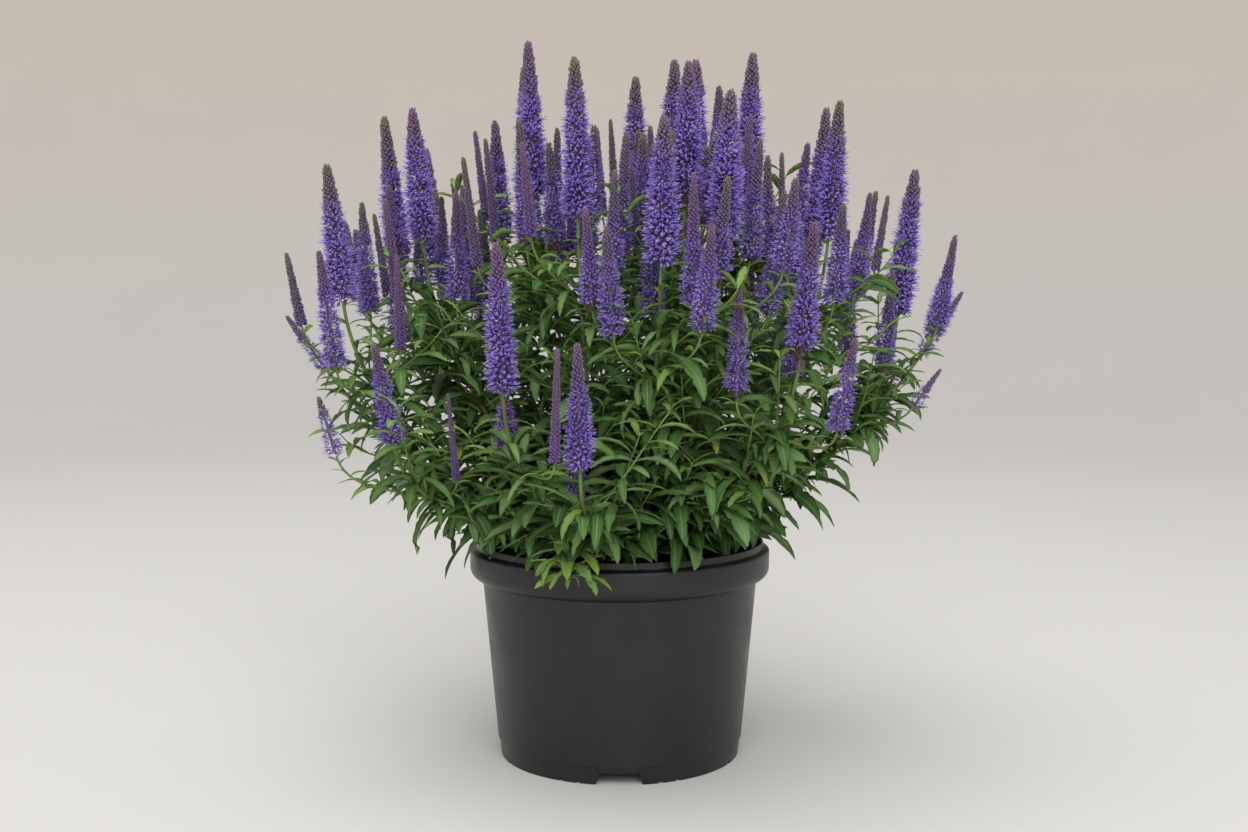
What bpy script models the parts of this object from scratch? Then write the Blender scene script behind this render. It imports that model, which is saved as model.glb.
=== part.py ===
"""Potted speedwell: a bushy clump of spike speedwell growing in a round nursery pot.

Metres, +Z up. The origin is the centre of the pot's underside, on the surface it stands
on, and -Y is the front. Each stem is two pieces: a leafy stem that rises from the compost,
and the flower head on top of it, which is the tall spike at its end with the side spikes on
their branches. What grew together in a piece is one solid.
"""

import math
from dataclasses import dataclass, field

import bmesh
import bpy
import numpy as np
from mathutils import Vector
from mathutils.bvhtree import BVHTree

# Fits
TOUCHING_GAP = 0.0003  # between pieces that rest against each other
HEAD_GAP = 0.0006  # between a leafy stem and its flower head, whose ends aren't quite parallel
GROWING_ROOM = 0.0012  # least space kept between stems and spikes that stand side by side
LEAF_ROOM = 0.0006  # how much a leaf is swollen when its clearance is tested

# Pot
POT_HEIGHT = 0.165  # floor to the top of the rim's bead
BEAD_HEIGHT = 0.0048  # the bead stands this far above the collar's shoulder
COLLAR_RADIUS = 0.115  # outside of the collar, the widest part of the pot
BEAD_INSET = 0.0048  # the bead stands this far inside the collar's face
COLLAR_FLARE = 0.0095  # the collar stands this far out from the body below it
COLLAR_DEPTH = 0.0232  # shoulder down to where the collar meets the body
COLLAR_SLOPE = 0.0085  # height of the curve under the collar
CURVE_OUT = 0.62  # the curve's middle point, as a share of the collar's flare
CURVE_UP = 0.30  # and as a share of the curve's height
BODY_TAPER = 0.0112  # how much the body's radius shrinks from the collar to the step
FOOT_HEIGHT = 0.0134  # height of the step above the skirt
FOOT_STEP = 0.0006  # the skirt is this much smaller than the body at the step
FOOT_TAPER = 0.0018  # how much the skirt's radius shrinks from the step to the floor
POT_WALL = 0.0018
POT_SEGMENTS = 44
CUTTER_MARGIN = 0.002  # how far a cutter starts outside what it cuts

# Underside of the pot
CHANNEL_WIDTH = 0.0237  # hollow ring between the skirt and the flat middle
CHANNEL_HEIGHT = 0.0105
SKIRT_WALL = 0.0022
NOTCH_COUNT = 4
NOTCH_FOOT_WIDTH = 0.0345
NOTCH_TOP_WIDTH = 0.0290
NOTCH_HEIGHT = 0.0085
DRAIN_COUNT = 8
DRAIN_RADIUS = 0.0040
DRAIN_SIDES = 10

# Compost
HEADSPACE = 0.0150  # top of the compost below the top of the rim
COMPOST_CROWN = 0.0035  # the middle of the compost is heaped this much
HEAP_SHOULDER = 0.8  # share of the heap's height that is left half way out to the stems
HEAP_MARGIN = 0.020  # the heap ends this far outside the stems

# Clump
CROWN_RADIUS = 0.062  # stems leave the compost inside this radius
STEM_COUNT = 22  # stems that follow the spiral
GOLDEN_ANGLE = math.radians(137.508)
SPIRAL_START = math.radians(38.0)
DOME_WIDTH = 0.262  # half the clump's width at its widest
DOME_REACH = 0.222  # half the clump's depth, front to back
DOME_WAIST = 0.135  # height of the widest level above the pot's rim
DOME_RISE = 0.239  # the top of the clump above the widest level
DOME_POWER = 2.6  # 2 is an ellipse, more is squarer
OUTER_SHARE = 0.89  # how far towards the dome's edge the outermost tips stand
TIP_SCATTER = 0.012
TURN_SCATTER = 0.08  # of a stem's place round the spiral, in radians
HEIGHT_SCATTER = 0.014
LEAN_INNER_DEG = 2.0
LEAN_OUTER_DEG = 8.5
RISE_INNER_DEG = 8.0  # lean of a stem where it leaves the compost
RISE_OUTER_DEG = 50.0

# Stems
STEM_FOOT_RADIUS = 0.0021
STEM_TOP_RADIUS = 0.0013
BRANCH_RADIUS = 0.0010
STALK_DEPTH = 0.003  # how far a stem or branch runs up into its spike
FIRST_BRANCH_SHARE = 0.10  # no branch leaves the flower head's axis lower than this
LAST_BRANCH_SHARE = 0.80
STEM_PIECES = 3  # straight pieces in a leafy stem, as long as those of the head's axis
AXIS_PIECES = 2  # straight pieces in a flower head's axis
BRANCH_PIECES = 2
BRANCH_RISE = 0.050  # height from a branch's joint to the foot of its spike
BRANCH_CLING = 0.8  # how much a branch starts along the stem rather than towards its spike
CURVE_REACH = 0.36  # length of a curve's handles, as a share of the distance between its ends
BEAD_SPACING = 0.004  # between the beads that stand for stems and spikes in a test of their room

# Flower spikes
SPIKE_LENGTH = (0.090, 0.112)
SPIKE_RADIUS = 0.0110
SIDE_SPIKE_LENGTH = (0.052, 0.086)
SIDE_SPIKE_RADIUS = 0.0080
SIDE_SPIKE_COUNT = 5
SIDE_REACH = (0.030, 0.046)
SIDE_DROP = (0.006, 0.052)
SIDE_LEAN_DEG = 5.0
SIDE_TRIES = 40
SIDE_SCATTER = 0.25  # of a side spike's place round the stem at the first try, in radians
SIDE_SCATTER_STEP = 0.02  # added at each further try
SPIKE_FORM = (0.75, 1.0, 0.9, 0.7, 0.45)  # a spike's beads from foot to tip, as shares of its radius
SPIKE_SIDES = 6
SPIKE_RINGS = ((0.08, 0.90), (0.45, 0.92), (0.92, 0.40))  # share up, share of radius
SIDE_SPIKE_SIDES = 5
SIDE_SPIKE_RINGS = ((0.14, 1.00), (0.86, 0.50))

# Leaves
LEAF_LENGTH = (0.040, 0.060)
LEAF_HALF_WIDTH = 0.0066
LEAF_HALF_THICKNESS = 0.0011
LEAF_SIDES = 3  # two edges and the midrib's keel under them
LEAF_ROOT = 0.0007  # a leaf starts this far behind the stem's axis, inside the stem
LEAF_RINGS = ((0.30, 0.92), (0.68, 0.80))  # share along, share of the half width
LEAF_PAIRS = 4
LEAF_FOOT = 0.24  # share of the leafy stem below the lowest pair
LEAF_HEAD = 0.95  # share of the leafy stem below the highest pair
LEAF_RAISE_DEG = (8.0, 42.0)  # a leaf's angle where it leaves the stem, low and high on it
LEAF_DROOP_DEG = (78.0, 52.0)  # how much it bends down from there to its tip
LEAF_TURN_SCATTER = 0.15  # radians
LEAF_RAISE_SCATTER = 0.10
LEAF_DROOP_SCATTER = 0.12
LEAF_SHRINKS = (1.0, 0.8, 0.62)  # a leaf with no room is tried shorter
LEAF_STEPS = 6  # straight steps in a leaf's arch

# Shading
HEAD_SHARP_DEG = 60.0
STEM_SHARP_DEG = 50.0

SEED = 20


@dataclass
class Shoot:
    """One stem: where it leaves the compost, where its spike stands, and what grows on it."""

    name: str
    foot: np.ndarray
    rise: np.ndarray
    spike_foot: np.ndarray
    spike_tip: np.ndarray
    spike_radius: float
    side_count: int
    flowers: bool = True
    spikes: list = field(default_factory=list)


@dataclass(frozen=True)
class Outlier:
    """A stem that stands away from the spiral, given by its spike's tip, measured from the rim up."""

    tip: tuple
    length: float
    lean_deg: float
    radius: float
    side_count: int


# The low spikes in front, the slim ones that lean out at both sides, and the ones that fill
# the front row between them.
OUTLIERS = (
    Outlier(tip=(-0.252, -0.010, 0.171), length=0.052, lean_deg=36.0, radius=0.0055, side_count=1),
    Outlier(tip=(0.262, 0.004, 0.189), length=0.056, lean_deg=33.0, radius=0.0060, side_count=2),
    Outlier(tip=(-0.026, -0.205, 0.155), length=0.080, lean_deg=7.0, radius=0.0088, side_count=1),
    Outlier(tip=(-0.166, -0.132, 0.153), length=0.070, lean_deg=12.0, radius=0.0080, side_count=2),
    Outlier(tip=(0.128, -0.160, 0.233), length=0.088, lean_deg=8.0, radius=0.0095, side_count=3),
    Outlier(tip=(-0.078, -0.190, 0.219), length=0.096, lean_deg=5.0, radius=0.0100, side_count=2),
)

# The leafy shoot that hangs over the rim in front, without flowers.
DROOPING_TURN = -1.831874  # azimuth of its end, in radians
DROOPING_REACH = 0.020595  # its end is this far outside the collar
DROOPING_LIFT = 0.0110  # and this far above the rim
DROOPING_RISE_DEG = 34.0
DROOPING_FALL = (0.10, -0.62, -0.78)
DROOPING_BUD = 0.012  # length of the bud that it ends in


def unit(vector):
    """The vector at length one."""
    vector = np.asarray(vector, float)
    return vector / np.linalg.norm(vector)


def leaning(azimuth, lean):
    """A direction that leans from the vertical by an angle, towards an azimuth."""
    level = math.sin(lean)
    return np.array([level * math.cos(azimuth), level * math.sin(azimuth), math.cos(lean)])


def bezier(start, leave, arrive, end, count):
    """Points on a cubic curve that leaves and arrives in the given directions."""
    reach = CURVE_REACH * np.linalg.norm(end - start)
    t = np.linspace(0.0, 1.0, count)[:, None]
    near = (1 - t) ** 3 * start + 3 * t * (1 - t) ** 2 * (start + reach * leave)
    far = 3 * t**2 * (1 - t) * (end - reach * arrive) + t**3 * end
    return near + far


def point_at(path, share):
    """The point and the direction at a share of the way along a path."""
    steps = np.linalg.norm(np.diff(path, axis=0), axis=1)
    along = np.concatenate([[0.0], np.cumsum(steps)])
    wanted = share * along[-1]
    place = np.array([np.interp(wanted, along, path[:, axis]) for axis in range(3)])
    index = min(int(np.searchsorted(along, wanted, side="right")), len(path) - 1)
    return place, unit(path[index] - path[index - 1])


def frame_for(direction, side):
    """Two unit vectors square to a direction: one as near to side as can be, and the third."""
    across = unit(np.asarray(side, float) - np.dot(side, direction) * direction)
    return across, np.cross(direction, across)


def body_radius(height):
    """Outside radius of the pot's tapered body at a height."""
    share = (height - FOOT_HEIGHT) / (collar_foot() - FOOT_HEIGHT)
    return body_low() + share * BODY_TAPER


# ------------------------------------------------------------------------- Blender helpers


def clear_scene():
    """Removes whatever the file opened with."""
    for found in list(bpy.data.objects):
        bpy.data.objects.remove(found, do_unlink=True)


def new_collection(name):
    """A collection linked to the scene."""
    made = bpy.data.collections.new(name)
    bpy.context.scene.collection.children.link(made)
    return made


def new_material(name, colour, roughness, metallic=0.0):
    """A Principled material."""
    made = bpy.data.materials.new(name)
    made.use_nodes = True
    shader = made.node_tree.nodes["Principled BSDF"]
    shader.inputs["Base Color"].default_value = (*colour, 1.0)
    shader.inputs["Roughness"].default_value = roughness
    shader.inputs["Metallic"].default_value = metallic
    made.diffuse_color = (*colour, 1.0)
    return made


def new_object(name, data, collection, material=None):
    """An object for a mesh or a curve, in a collection, with its material."""
    made = bpy.data.objects.new(name, data)
    collection.objects.link(made)
    if material is not None:
        data.materials.clear()
        data.materials.append(material)
    return made


def evaluated_mesh(found, name):
    """A mesh of an object as the viewport evaluates it, with its seams welded."""
    graph = bpy.context.evaluated_depsgraph_get()
    made = bpy.data.meshes.new_from_object(found.evaluated_get(graph))
    made.name = name
    shape = bmesh.new()
    shape.from_mesh(made)
    bmesh.ops.remove_doubles(shape, verts=shape.verts, dist=1e-6)
    shape.to_mesh(made)
    shape.free()
    return made


def turned(name, outline, collection, material):
    """A solid turned about the Z axis from an outline of (radius, height) points."""
    mesh = bpy.data.meshes.new(name)
    points = [(radius, 0.0, height) for radius, height in outline]
    mesh.from_pydata(points, [(i, i + 1) for i in range(len(points) - 1)], [])
    made = new_object(name, mesh, collection, material)
    screw = made.modifiers.new("Turn", "SCREW")
    screw.steps = POT_SEGMENTS
    screw.render_steps = POT_SEGMENTS
    screw.use_merge_vertices = True
    screw.merge_threshold = 0.00005
    return made


def cut(target, cutter):
    """Takes a cutter out of a target."""
    cutter.hide_render = True
    cutter.display_type = "WIRE"
    boolean = target.modifiers.new("Cut", "BOOLEAN")
    boolean.operation = "DIFFERENCE"
    boolean.solver = "EXACT"
    boolean.object = cutter


def tube(name, path, radii, bevel_resolution, collection):
    """A closed round tube along a path, as a mesh object with welded caps."""
    curve = bpy.data.curves.new(name, "CURVE")
    curve.dimensions = "3D"
    curve.bevel_depth = 1.0
    curve.bevel_resolution = bevel_resolution
    curve.use_fill_caps = True
    spline = curve.splines.new("POLY")
    spline.points.add(len(path) - 1)
    for knot, place, radius in zip(spline.points, path, radii, strict=True):
        knot.co = (*place, 1.0)
        knot.radius = radius
    drawn = new_object(name + "_curve", curve, collection)
    mesh = evaluated_mesh(drawn, name)
    bpy.data.objects.remove(drawn, do_unlink=True)
    return new_object(name, mesh, collection)


def spindle(path, rings, side, half_width, half_depth, sides, turn=0.0):
    """A closed spindle along a path, made from a sphere whose rings are moved onto it.

    rings gives the share along the path and the share of the full size of each ring of the
    sphere between its two poles. side is the direction of the half width, and turn sets where
    on the section its first corner lies.
    """
    shape = bmesh.new()
    bmesh.ops.create_uvsphere(shape, u_segments=sides, v_segments=len(rings) + 1, radius=1.0)
    levels = sorted({round(vert.co.z, 4) for vert in shape.verts})
    shares = [(0.0, 0.0), *rings, (1.0, 0.0)]
    for vert in shape.verts:
        share, size = shares[levels.index(round(vert.co.z, 4))]
        place, direction = point_at(path, share)
        across, through = frame_for(direction, side)
        angle = math.atan2(vert.co.y, vert.co.x) + turn
        place = place + size * half_width * math.cos(angle) * across
        vert.co = Vector(place + size * half_depth * math.sin(angle) * through)
    bmesh.ops.recalc_face_normals(shape, faces=shape.faces)
    return shape


def grown_together(name, trunk, shapes, collection, material):
    """One solid from a trunk and the bmesh shapes that grow out of it, which are freed."""
    grown = []
    for shape in shapes:
        mesh = bpy.data.meshes.new(name + "_grown")
        shape.to_mesh(mesh)
        shape.free()
        grown.append(new_object(mesh.name, mesh, collection))
        boolean = trunk.modifiers.new("Grow", "BOOLEAN")
        boolean.operation = "UNION"
        boolean.solver = "EXACT"
        boolean.object = grown[-1]
    mesh = evaluated_mesh(trunk, name)
    for finished in (trunk, *grown):
        bpy.data.objects.remove(finished, do_unlink=True)
    return new_object(name, mesh, collection, material)


def shaded(found, sharp_deg):
    """Shades a mesh object smooth, with sharp edges above an angle."""
    found.data.shade_smooth()
    found.data.set_sharp_from_angle(angle=math.radians(sharp_deg))


# ------------------------------------------------------------------------------ pot, compost


def bead_radius():
    """Outside radius of the bead."""
    return COLLAR_RADIUS - BEAD_INSET


def body_top():
    """Outside radius of the body where the collar's curve meets it."""
    return COLLAR_RADIUS - COLLAR_FLARE


def body_low():
    """Outside radius of the body at the step above the skirt."""
    return body_top() - BODY_TAPER


def foot_radius():
    """Outside radius of the skirt at the floor."""
    return body_low() - FOOT_STEP - FOOT_TAPER


def channel_outer():
    """Radius of the hollow ring's outer side, inside the skirt."""
    return foot_radius() - SKIRT_WALL


def rest_radius():
    """Radius of the flat middle that stands on the floor."""
    return channel_outer() - CHANNEL_WIDTH


def collar_foot():
    """Height at which the collar's curve meets the body."""
    return POT_HEIGHT - BEAD_HEIGHT - COLLAR_DEPTH


def curve_middle():
    """Radius and height of the middle point of the curve under the collar, outside."""
    return body_top() + CURVE_OUT * COLLAR_FLARE, collar_foot() + CURVE_UP * COLLAR_SLOPE


def inner_floor():
    """(radius, height) points of the pot's inside floor, from the axis to the wall."""
    ceiling = CHANNEL_HEIGHT + POT_WALL
    return [
        (0.0, POT_WALL),
        (rest_radius() - POT_WALL, POT_WALL),
        (rest_radius() - POT_WALL, ceiling),
        (body_radius(ceiling) - POT_WALL - FOOT_STEP, ceiling),
    ]


def pot_outline():
    """The pot's section, from the axis inside, up the wall, over the rim and down to the floor."""
    shoulder = POT_HEIGHT - BEAD_HEIGHT
    slope_top = collar_foot() + COLLAR_SLOPE
    curve_radius, curve_height = curve_middle()
    inside = [
        *inner_floor(),
        (body_top() - POT_WALL, collar_foot()),
        (curve_radius - POT_WALL, curve_height),
        (COLLAR_RADIUS - POT_WALL, slope_top),
        (COLLAR_RADIUS - POT_WALL, shoulder - POT_WALL),
        (bead_radius() - POT_WALL, shoulder - 0.4 * POT_WALL),
        (bead_radius() - POT_WALL, POT_HEIGHT - 0.3 * POT_WALL),
    ]
    rim = [
        (bead_radius() - 0.7 * POT_WALL, POT_HEIGHT),
        (bead_radius() - 0.3 * POT_WALL, POT_HEIGHT),
        (bead_radius(), POT_HEIGHT - 0.3 * POT_WALL),
        (bead_radius(), shoulder + 0.5 * POT_WALL),
        (COLLAR_RADIUS - 0.5 * POT_WALL, shoulder),
        (COLLAR_RADIUS, shoulder - 0.5 * POT_WALL),
    ]
    outside = [
        (COLLAR_RADIUS, slope_top),
        (curve_radius, curve_height),
        (body_top(), collar_foot()),
        (body_low(), FOOT_HEIGHT),
        (body_low() - FOOT_STEP, FOOT_HEIGHT - FOOT_STEP),
        (foot_radius(), 0.0),
        (channel_outer(), 0.0),
        (channel_outer(), CHANNEL_HEIGHT),
        (rest_radius(), CHANNEL_HEIGHT),
        (rest_radius(), 0.0),
        (0.0, 0.0),
    ]
    return [*inside, *rim, *outside]


def prism(name, width, top_width, low, high, inner, outer, azimuth, collection):
    """A cutter with a trapezium section, which reaches from inner to outer along an azimuth."""
    shape = bmesh.new()
    bmesh.ops.create_cube(shape, size=1.0)
    for vert in shape.verts:
        broad = top_width if vert.co.z > 0 else width
        along = outer if vert.co.x > 0 else inner
        across = math.copysign(0.5 * broad, vert.co.y)
        height = high if vert.co.z > 0 else low
        x = along * math.cos(azimuth) - across * math.sin(azimuth)
        y = along * math.sin(azimuth) + across * math.cos(azimuth)
        vert.co = Vector((x, y, height))
    mesh = bpy.data.meshes.new(name)
    shape.to_mesh(mesh)
    shape.free()
    return new_object(name, mesh, collection)


def make_pot(parts, cutters):
    """The nursery pot: a turned shell, its drainage notches and its drain holes."""
    plastic = new_material("pot_plastic", (0.022, 0.023, 0.026), 0.42)
    pot = turned("pot", pot_outline(), parts, plastic)
    inner, outer = channel_outer() - CUTTER_MARGIN, foot_radius() + CUTTER_MARGIN
    front = -0.5 * math.pi
    for notch in range(NOTCH_COUNT):
        azimuth = front + 2 * math.pi * notch / NOTCH_COUNT
        cut(pot, prism(f"notch_{notch + 1}", NOTCH_FOOT_WIDTH, NOTCH_TOP_WIDTH, -CUTTER_MARGIN,
                       NOTCH_HEIGHT, inner, outer, azimuth, cutters))
    middle = 0.5 * (rest_radius() + channel_outer())
    level = CHANNEL_HEIGHT + 0.5 * POT_WALL
    for drain in range(DRAIN_COUNT):
        azimuth = front + 2 * math.pi * (drain + 0.5) / DRAIN_COUNT
        shape = bmesh.new()
        bmesh.ops.create_cone(shape, cap_ends=True, segments=DRAIN_SIDES, radius1=DRAIN_RADIUS,
                              radius2=DRAIN_RADIUS, depth=2.0 * POT_WALL)
        mesh = bpy.data.meshes.new(f"drain_{drain + 1}")
        shape.to_mesh(mesh)
        shape.free()
        bore = new_object(mesh.name, mesh, cutters)
        bore.location = (middle * math.cos(azimuth), middle * math.sin(azimuth), level)
        cut(pot, bore)
    return pot


def make_compost(parts):
    """The root ball and compost, which fill the pot to a little below its rim."""
    earth = new_material("compost", (0.018, 0.013, 0.010), 0.95)
    top = compost_top()
    curve_radius, curve_height = curve_middle()
    (_, rest), (step, _), (_, ceiling), (wall, _) = inner_floor()
    gap = TOUCHING_GAP
    outline = [
        *heap(),
        (COLLAR_RADIUS - POT_WALL - 2.0 * gap, top),
        (COLLAR_RADIUS - POT_WALL - 2.0 * gap, collar_foot() + COLLAR_SLOPE + gap),
        (curve_radius - POT_WALL - gap, curve_height + 2.0 * gap),
        (body_top() - POT_WALL - gap, collar_foot() + 2.0 * gap),
        (wall - gap, ceiling + gap),
        (step - gap, ceiling + gap),
        (step - gap, rest + gap),
        (0.0, rest + gap),
    ]
    return turned("compost", outline, parts, earth)


def compost_top():
    """Height of the compost's level part."""
    return POT_HEIGHT - HEADSPACE


def heap():
    """(radius, height) points of the compost's heaped middle, from the axis out."""
    return [
        (0.0, compost_top() + COMPOST_CROWN),
        (0.5 * CROWN_RADIUS, compost_top() + HEAP_SHOULDER * COMPOST_CROWN),
        (CROWN_RADIUS + HEAP_MARGIN, compost_top()),
    ]


def compost_height(radius):
    """Height of the compost's heaped surface at a radius."""
    radii, heights = zip(*heap(), strict=True)
    return float(np.interp(radius, radii, heights))


# ------------------------------------------------------------------------------ the layout


class Crowd:
    """Round beads strung along every stem and spike placed so far, each with its owner."""

    def __init__(self):
        self.centres = np.zeros((0, 3))
        self.radii = np.zeros(0)
        self.owners = np.zeros(0, int)

    def has_room(self, centres, radii, ignore=-1):
        """Whether beads stay clear of all the others but those of one owner."""
        others = self.owners != ignore
        if not others.any():
            return True
        apart = np.linalg.norm(centres[:, None] - self.centres[others][None], axis=2)
        return bool((apart > radii[:, None] + self.radii[others][None] + GROWING_ROOM).all())

    def add(self, centres, radii, owner):
        """Adds beads."""
        self.centres = np.vstack([self.centres, centres])
        self.radii = np.concatenate([self.radii, radii])
        self.owners = np.concatenate([self.owners, np.full(len(radii), owner)])


def stem_path(shoot):
    """The knots of the main stem's whole path, from the compost to the foot of its spike."""
    arrive = unit(shoot.spike_tip - shoot.spike_foot)
    return bezier(shoot.foot, shoot.rise, arrive, shoot.spike_foot, STEM_PIECES + AXIS_PIECES + 1)


def stem_radii():
    """Radius of a main stem at each of its knots."""
    return np.linspace(STEM_FOOT_RADIUS, STEM_TOP_RADIUS, STEM_PIECES + AXIS_PIECES + 1)


def leafy_pieces(shoot):
    """How many of a stem's pieces bear leaves: all of them if it has no flower head."""
    return STEM_PIECES if shoot.flowers else STEM_PIECES + AXIS_PIECES


def branch_path(shoot, foot, tip):
    """The knots of a branch, from its joint on the head's axis to the foot of its spike."""
    axis = stem_path(shoot)[STEM_PIECES:]
    share = np.interp(foot[2] - BRANCH_RISE, axis[:, 2], np.linspace(0.0, 1.0, len(axis)))
    joint, along = point_at(axis, float(np.clip(share, FIRST_BRANCH_SHARE, LAST_BRANCH_SHARE)))
    leave = unit(BRANCH_CLING * along + unit(foot - joint))
    return bezier(joint, leave, unit(tip - foot), foot, BRANCH_PIECES + 1)


def beads(path, radii):
    """Bead centres and radii along a path, near enough to each other to leave no holes."""
    count = max(4, int(np.linalg.norm(np.diff(path, axis=0), axis=1).sum() / BEAD_SPACING))
    shares = np.linspace(0.0, 1.0, count)
    centres = np.array([point_at(path, share)[0] for share in shares])
    sizes = np.interp(shares, np.linspace(0.0, 1.0, len(radii)), radii)
    return centres, sizes


def spike_beads(foot, tip, radius):
    """Beads for a flower spike, which tapers to its tip."""
    return beads(np.array([foot, tip]), radius * np.array(SPIKE_FORM))


def tip_height(x, y):
    """Height of the dome that the spikes' tips reach, at a place seen from above."""
    share = min(math.hypot(x / DOME_WIDTH, y / DOME_REACH), 0.995)
    return POT_HEIGHT + DOME_WAIST + DOME_RISE * (1.0 - share**DOME_POWER) ** (1.0 / DOME_POWER)


def crown_point(azimuth, radius, rise):
    """Where a stem starts, with the low edge of its tilted end just over the compost."""
    height = compost_height(radius) + STEM_FOOT_RADIUS * math.sin(rise) + 2.0 * TOUCHING_GAP
    return np.array([radius * math.cos(azimuth), radius * math.sin(azimuth), height])


def shoot_to(name, tip, length, lean, radius, side_count):
    """A stem that ends in a spike with its tip at a place, leaning away from the axis."""
    tip = np.asarray(tip, float)
    azimuth = math.atan2(tip[1], tip[0])
    outward = min(math.hypot(tip[0] / DOME_WIDTH, tip[1] / DOME_REACH), 1.0)
    direction = leaning(azimuth, lean)
    rise = math.radians(RISE_INNER_DEG + (RISE_OUTER_DEG - RISE_INNER_DEG) * outward**1.5)
    foot = crown_point(azimuth, CROWN_RADIUS * outward, rise)
    return Shoot(name, foot, leaning(azimuth, rise), tip - length * direction, tip, radius, side_count)


def lay_out(random):
    """Every flowering stem: the outliers, then the spiral, then the side spikes of all."""
    crowd = Crowd()
    shoots = []

    def settle(shoot):
        """Adds a stem to the clump if it has room."""
        owner = len(shoots)
        stem = beads(stem_path(shoot), stem_radii())
        spike = spike_beads(shoot.spike_foot, shoot.spike_tip, shoot.spike_radius)
        if not (crowd.has_room(*stem) and crowd.has_room(*spike)):
            return False
        crowd.add(*stem, owner)
        crowd.add(*spike, owner)
        shoots.append(shoot)
        return True

    for outlier in OUTLIERS:
        name = f"{len(shoots) + 1:02d}"
        tip = np.array(outlier.tip) + (0.0, 0.0, POT_HEIGHT)
        settle(shoot_to(name, tip, outlier.length, math.radians(outlier.lean_deg),
                        outlier.radius, outlier.side_count))
    for index in range(STEM_COUNT):
        share = OUTER_SHARE * math.sqrt((index + 0.5) / STEM_COUNT)
        for _ in range(SIDE_TRIES):
            azimuth = SPIRAL_START + index * GOLDEN_ANGLE + random.normal(0.0, TURN_SCATTER)
            x = share * DOME_WIDTH * math.cos(azimuth) + random.normal(0.0, TIP_SCATTER)
            y = share * DOME_REACH * math.sin(azimuth) + random.normal(0.0, TIP_SCATTER)
            z = tip_height(x, y) - abs(random.normal(0.0, HEIGHT_SCATTER))
            lean = math.radians(LEAN_INNER_DEG + (LEAN_OUTER_DEG - LEAN_INNER_DEG) * share**2)
            length = random.uniform(*SPIKE_LENGTH)
            name = f"{len(shoots) + 1:02d}"
            if settle(shoot_to(name, (x, y, z), length, lean, SPIKE_RADIUS, SIDE_SPIKE_COUNT)):
                break
    for owner, shoot in enumerate(shoots):
        grow_side_spikes(shoot, owner, crowd, random)
    return shoots


def grow_side_spikes(shoot, owner, crowd, random):
    """Gives a stem its side spikes, each on a branch, where there is room for them."""
    shoot.spikes.append((shoot.spike_foot, shoot.spike_tip, shoot.spike_radius))
    upright = unit(shoot.spike_tip - shoot.spike_foot)
    turn = random.uniform(0.0, 2 * math.pi)
    size = shoot.spike_radius / SPIKE_RADIUS
    for index in range(shoot.side_count):
        for attempt in range(SIDE_TRIES):
            scatter = random.normal(0.0, SIDE_SCATTER + SIDE_SCATTER_STEP * attempt)
            azimuth = turn + 2 * math.pi * index / shoot.side_count + scatter
            reach = random.uniform(*SIDE_REACH)
            drop = random.uniform(*SIDE_DROP)
            outward = np.array([math.cos(azimuth), math.sin(azimuth), 0.0])
            foot = shoot.spike_foot + reach * outward - drop * upright
            leaning_out = unit(upright + math.tan(math.radians(SIDE_LEAN_DEG)) * outward)
            tip = foot + size * random.uniform(*SIDE_SPIKE_LENGTH) * leaning_out
            radius = size * SIDE_SPIKE_RADIUS
            wide = math.hypot(tip[0] / DOME_WIDTH, tip[1] / DOME_REACH)
            if wide > 1.0 or tip[2] > tip_height(tip[0], tip[1]):
                continue
            spike = spike_beads(foot, tip, radius)
            line = branch_path(shoot, foot, tip)
            branch = beads(line, np.full(len(line), BRANCH_RADIUS))
            if crowd.has_room(*spike) and crowd.has_room(*branch, ignore=owner):
                crowd.add(*spike, owner)
                crowd.add(*branch, owner)
                shoot.spikes.append((foot, tip, radius))
                break


# ------------------------------------------------------------------------- stems and spikes


def stalk(name, path, radii, parts):
    """A thin square-sided tube as a bmesh shape."""
    drawn = tube(name, path, radii, 0, parts)
    shape = bmesh.new()
    shape.from_mesh(drawn.data)
    bpy.data.objects.remove(drawn, do_unlink=True)
    return shape


def make_head(shoot, parts, material):
    """One flower head: the end of the stem with its tall spike, and the branches with theirs."""
    name = f"flower_head_{shoot.name}"
    shapes = []
    for index, (foot, tip, radius) in enumerate(shoot.spikes):
        rings = SPIKE_RINGS if index == 0 else SIDE_SPIKE_RINGS
        sides = SPIKE_SIDES if index == 0 else SIDE_SPIKE_SIDES
        shapes.append(spindle(np.array([foot, tip]), rings, (1.0, 0.0, 0.0), radius, radius, sides))
    for foot, tip, _ in shoot.spikes[1:]:
        inside = foot + STALK_DEPTH * unit(tip - foot)
        line = np.vstack([branch_path(shoot, foot, tip), inside])
        shapes.append(stalk(name + "_branch", line, np.full(len(line), BRANCH_RADIUS), parts))
    line = stem_path(shoot)[STEM_PIECES:]
    line[0] += HEAD_GAP * unit(line[1] - line[0])
    inside = shoot.spike_foot + STALK_DEPTH * unit(shoot.spike_tip - shoot.spike_foot)
    radii = np.append(stem_radii()[STEM_PIECES:], STEM_TOP_RADIUS)
    axis = tube(name + "_axis", np.vstack([line, inside]), radii, 0, parts)
    head = grown_together(name, axis, shapes, parts, material)
    shaded(head, HEAD_SHARP_DEG)
    return head


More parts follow.
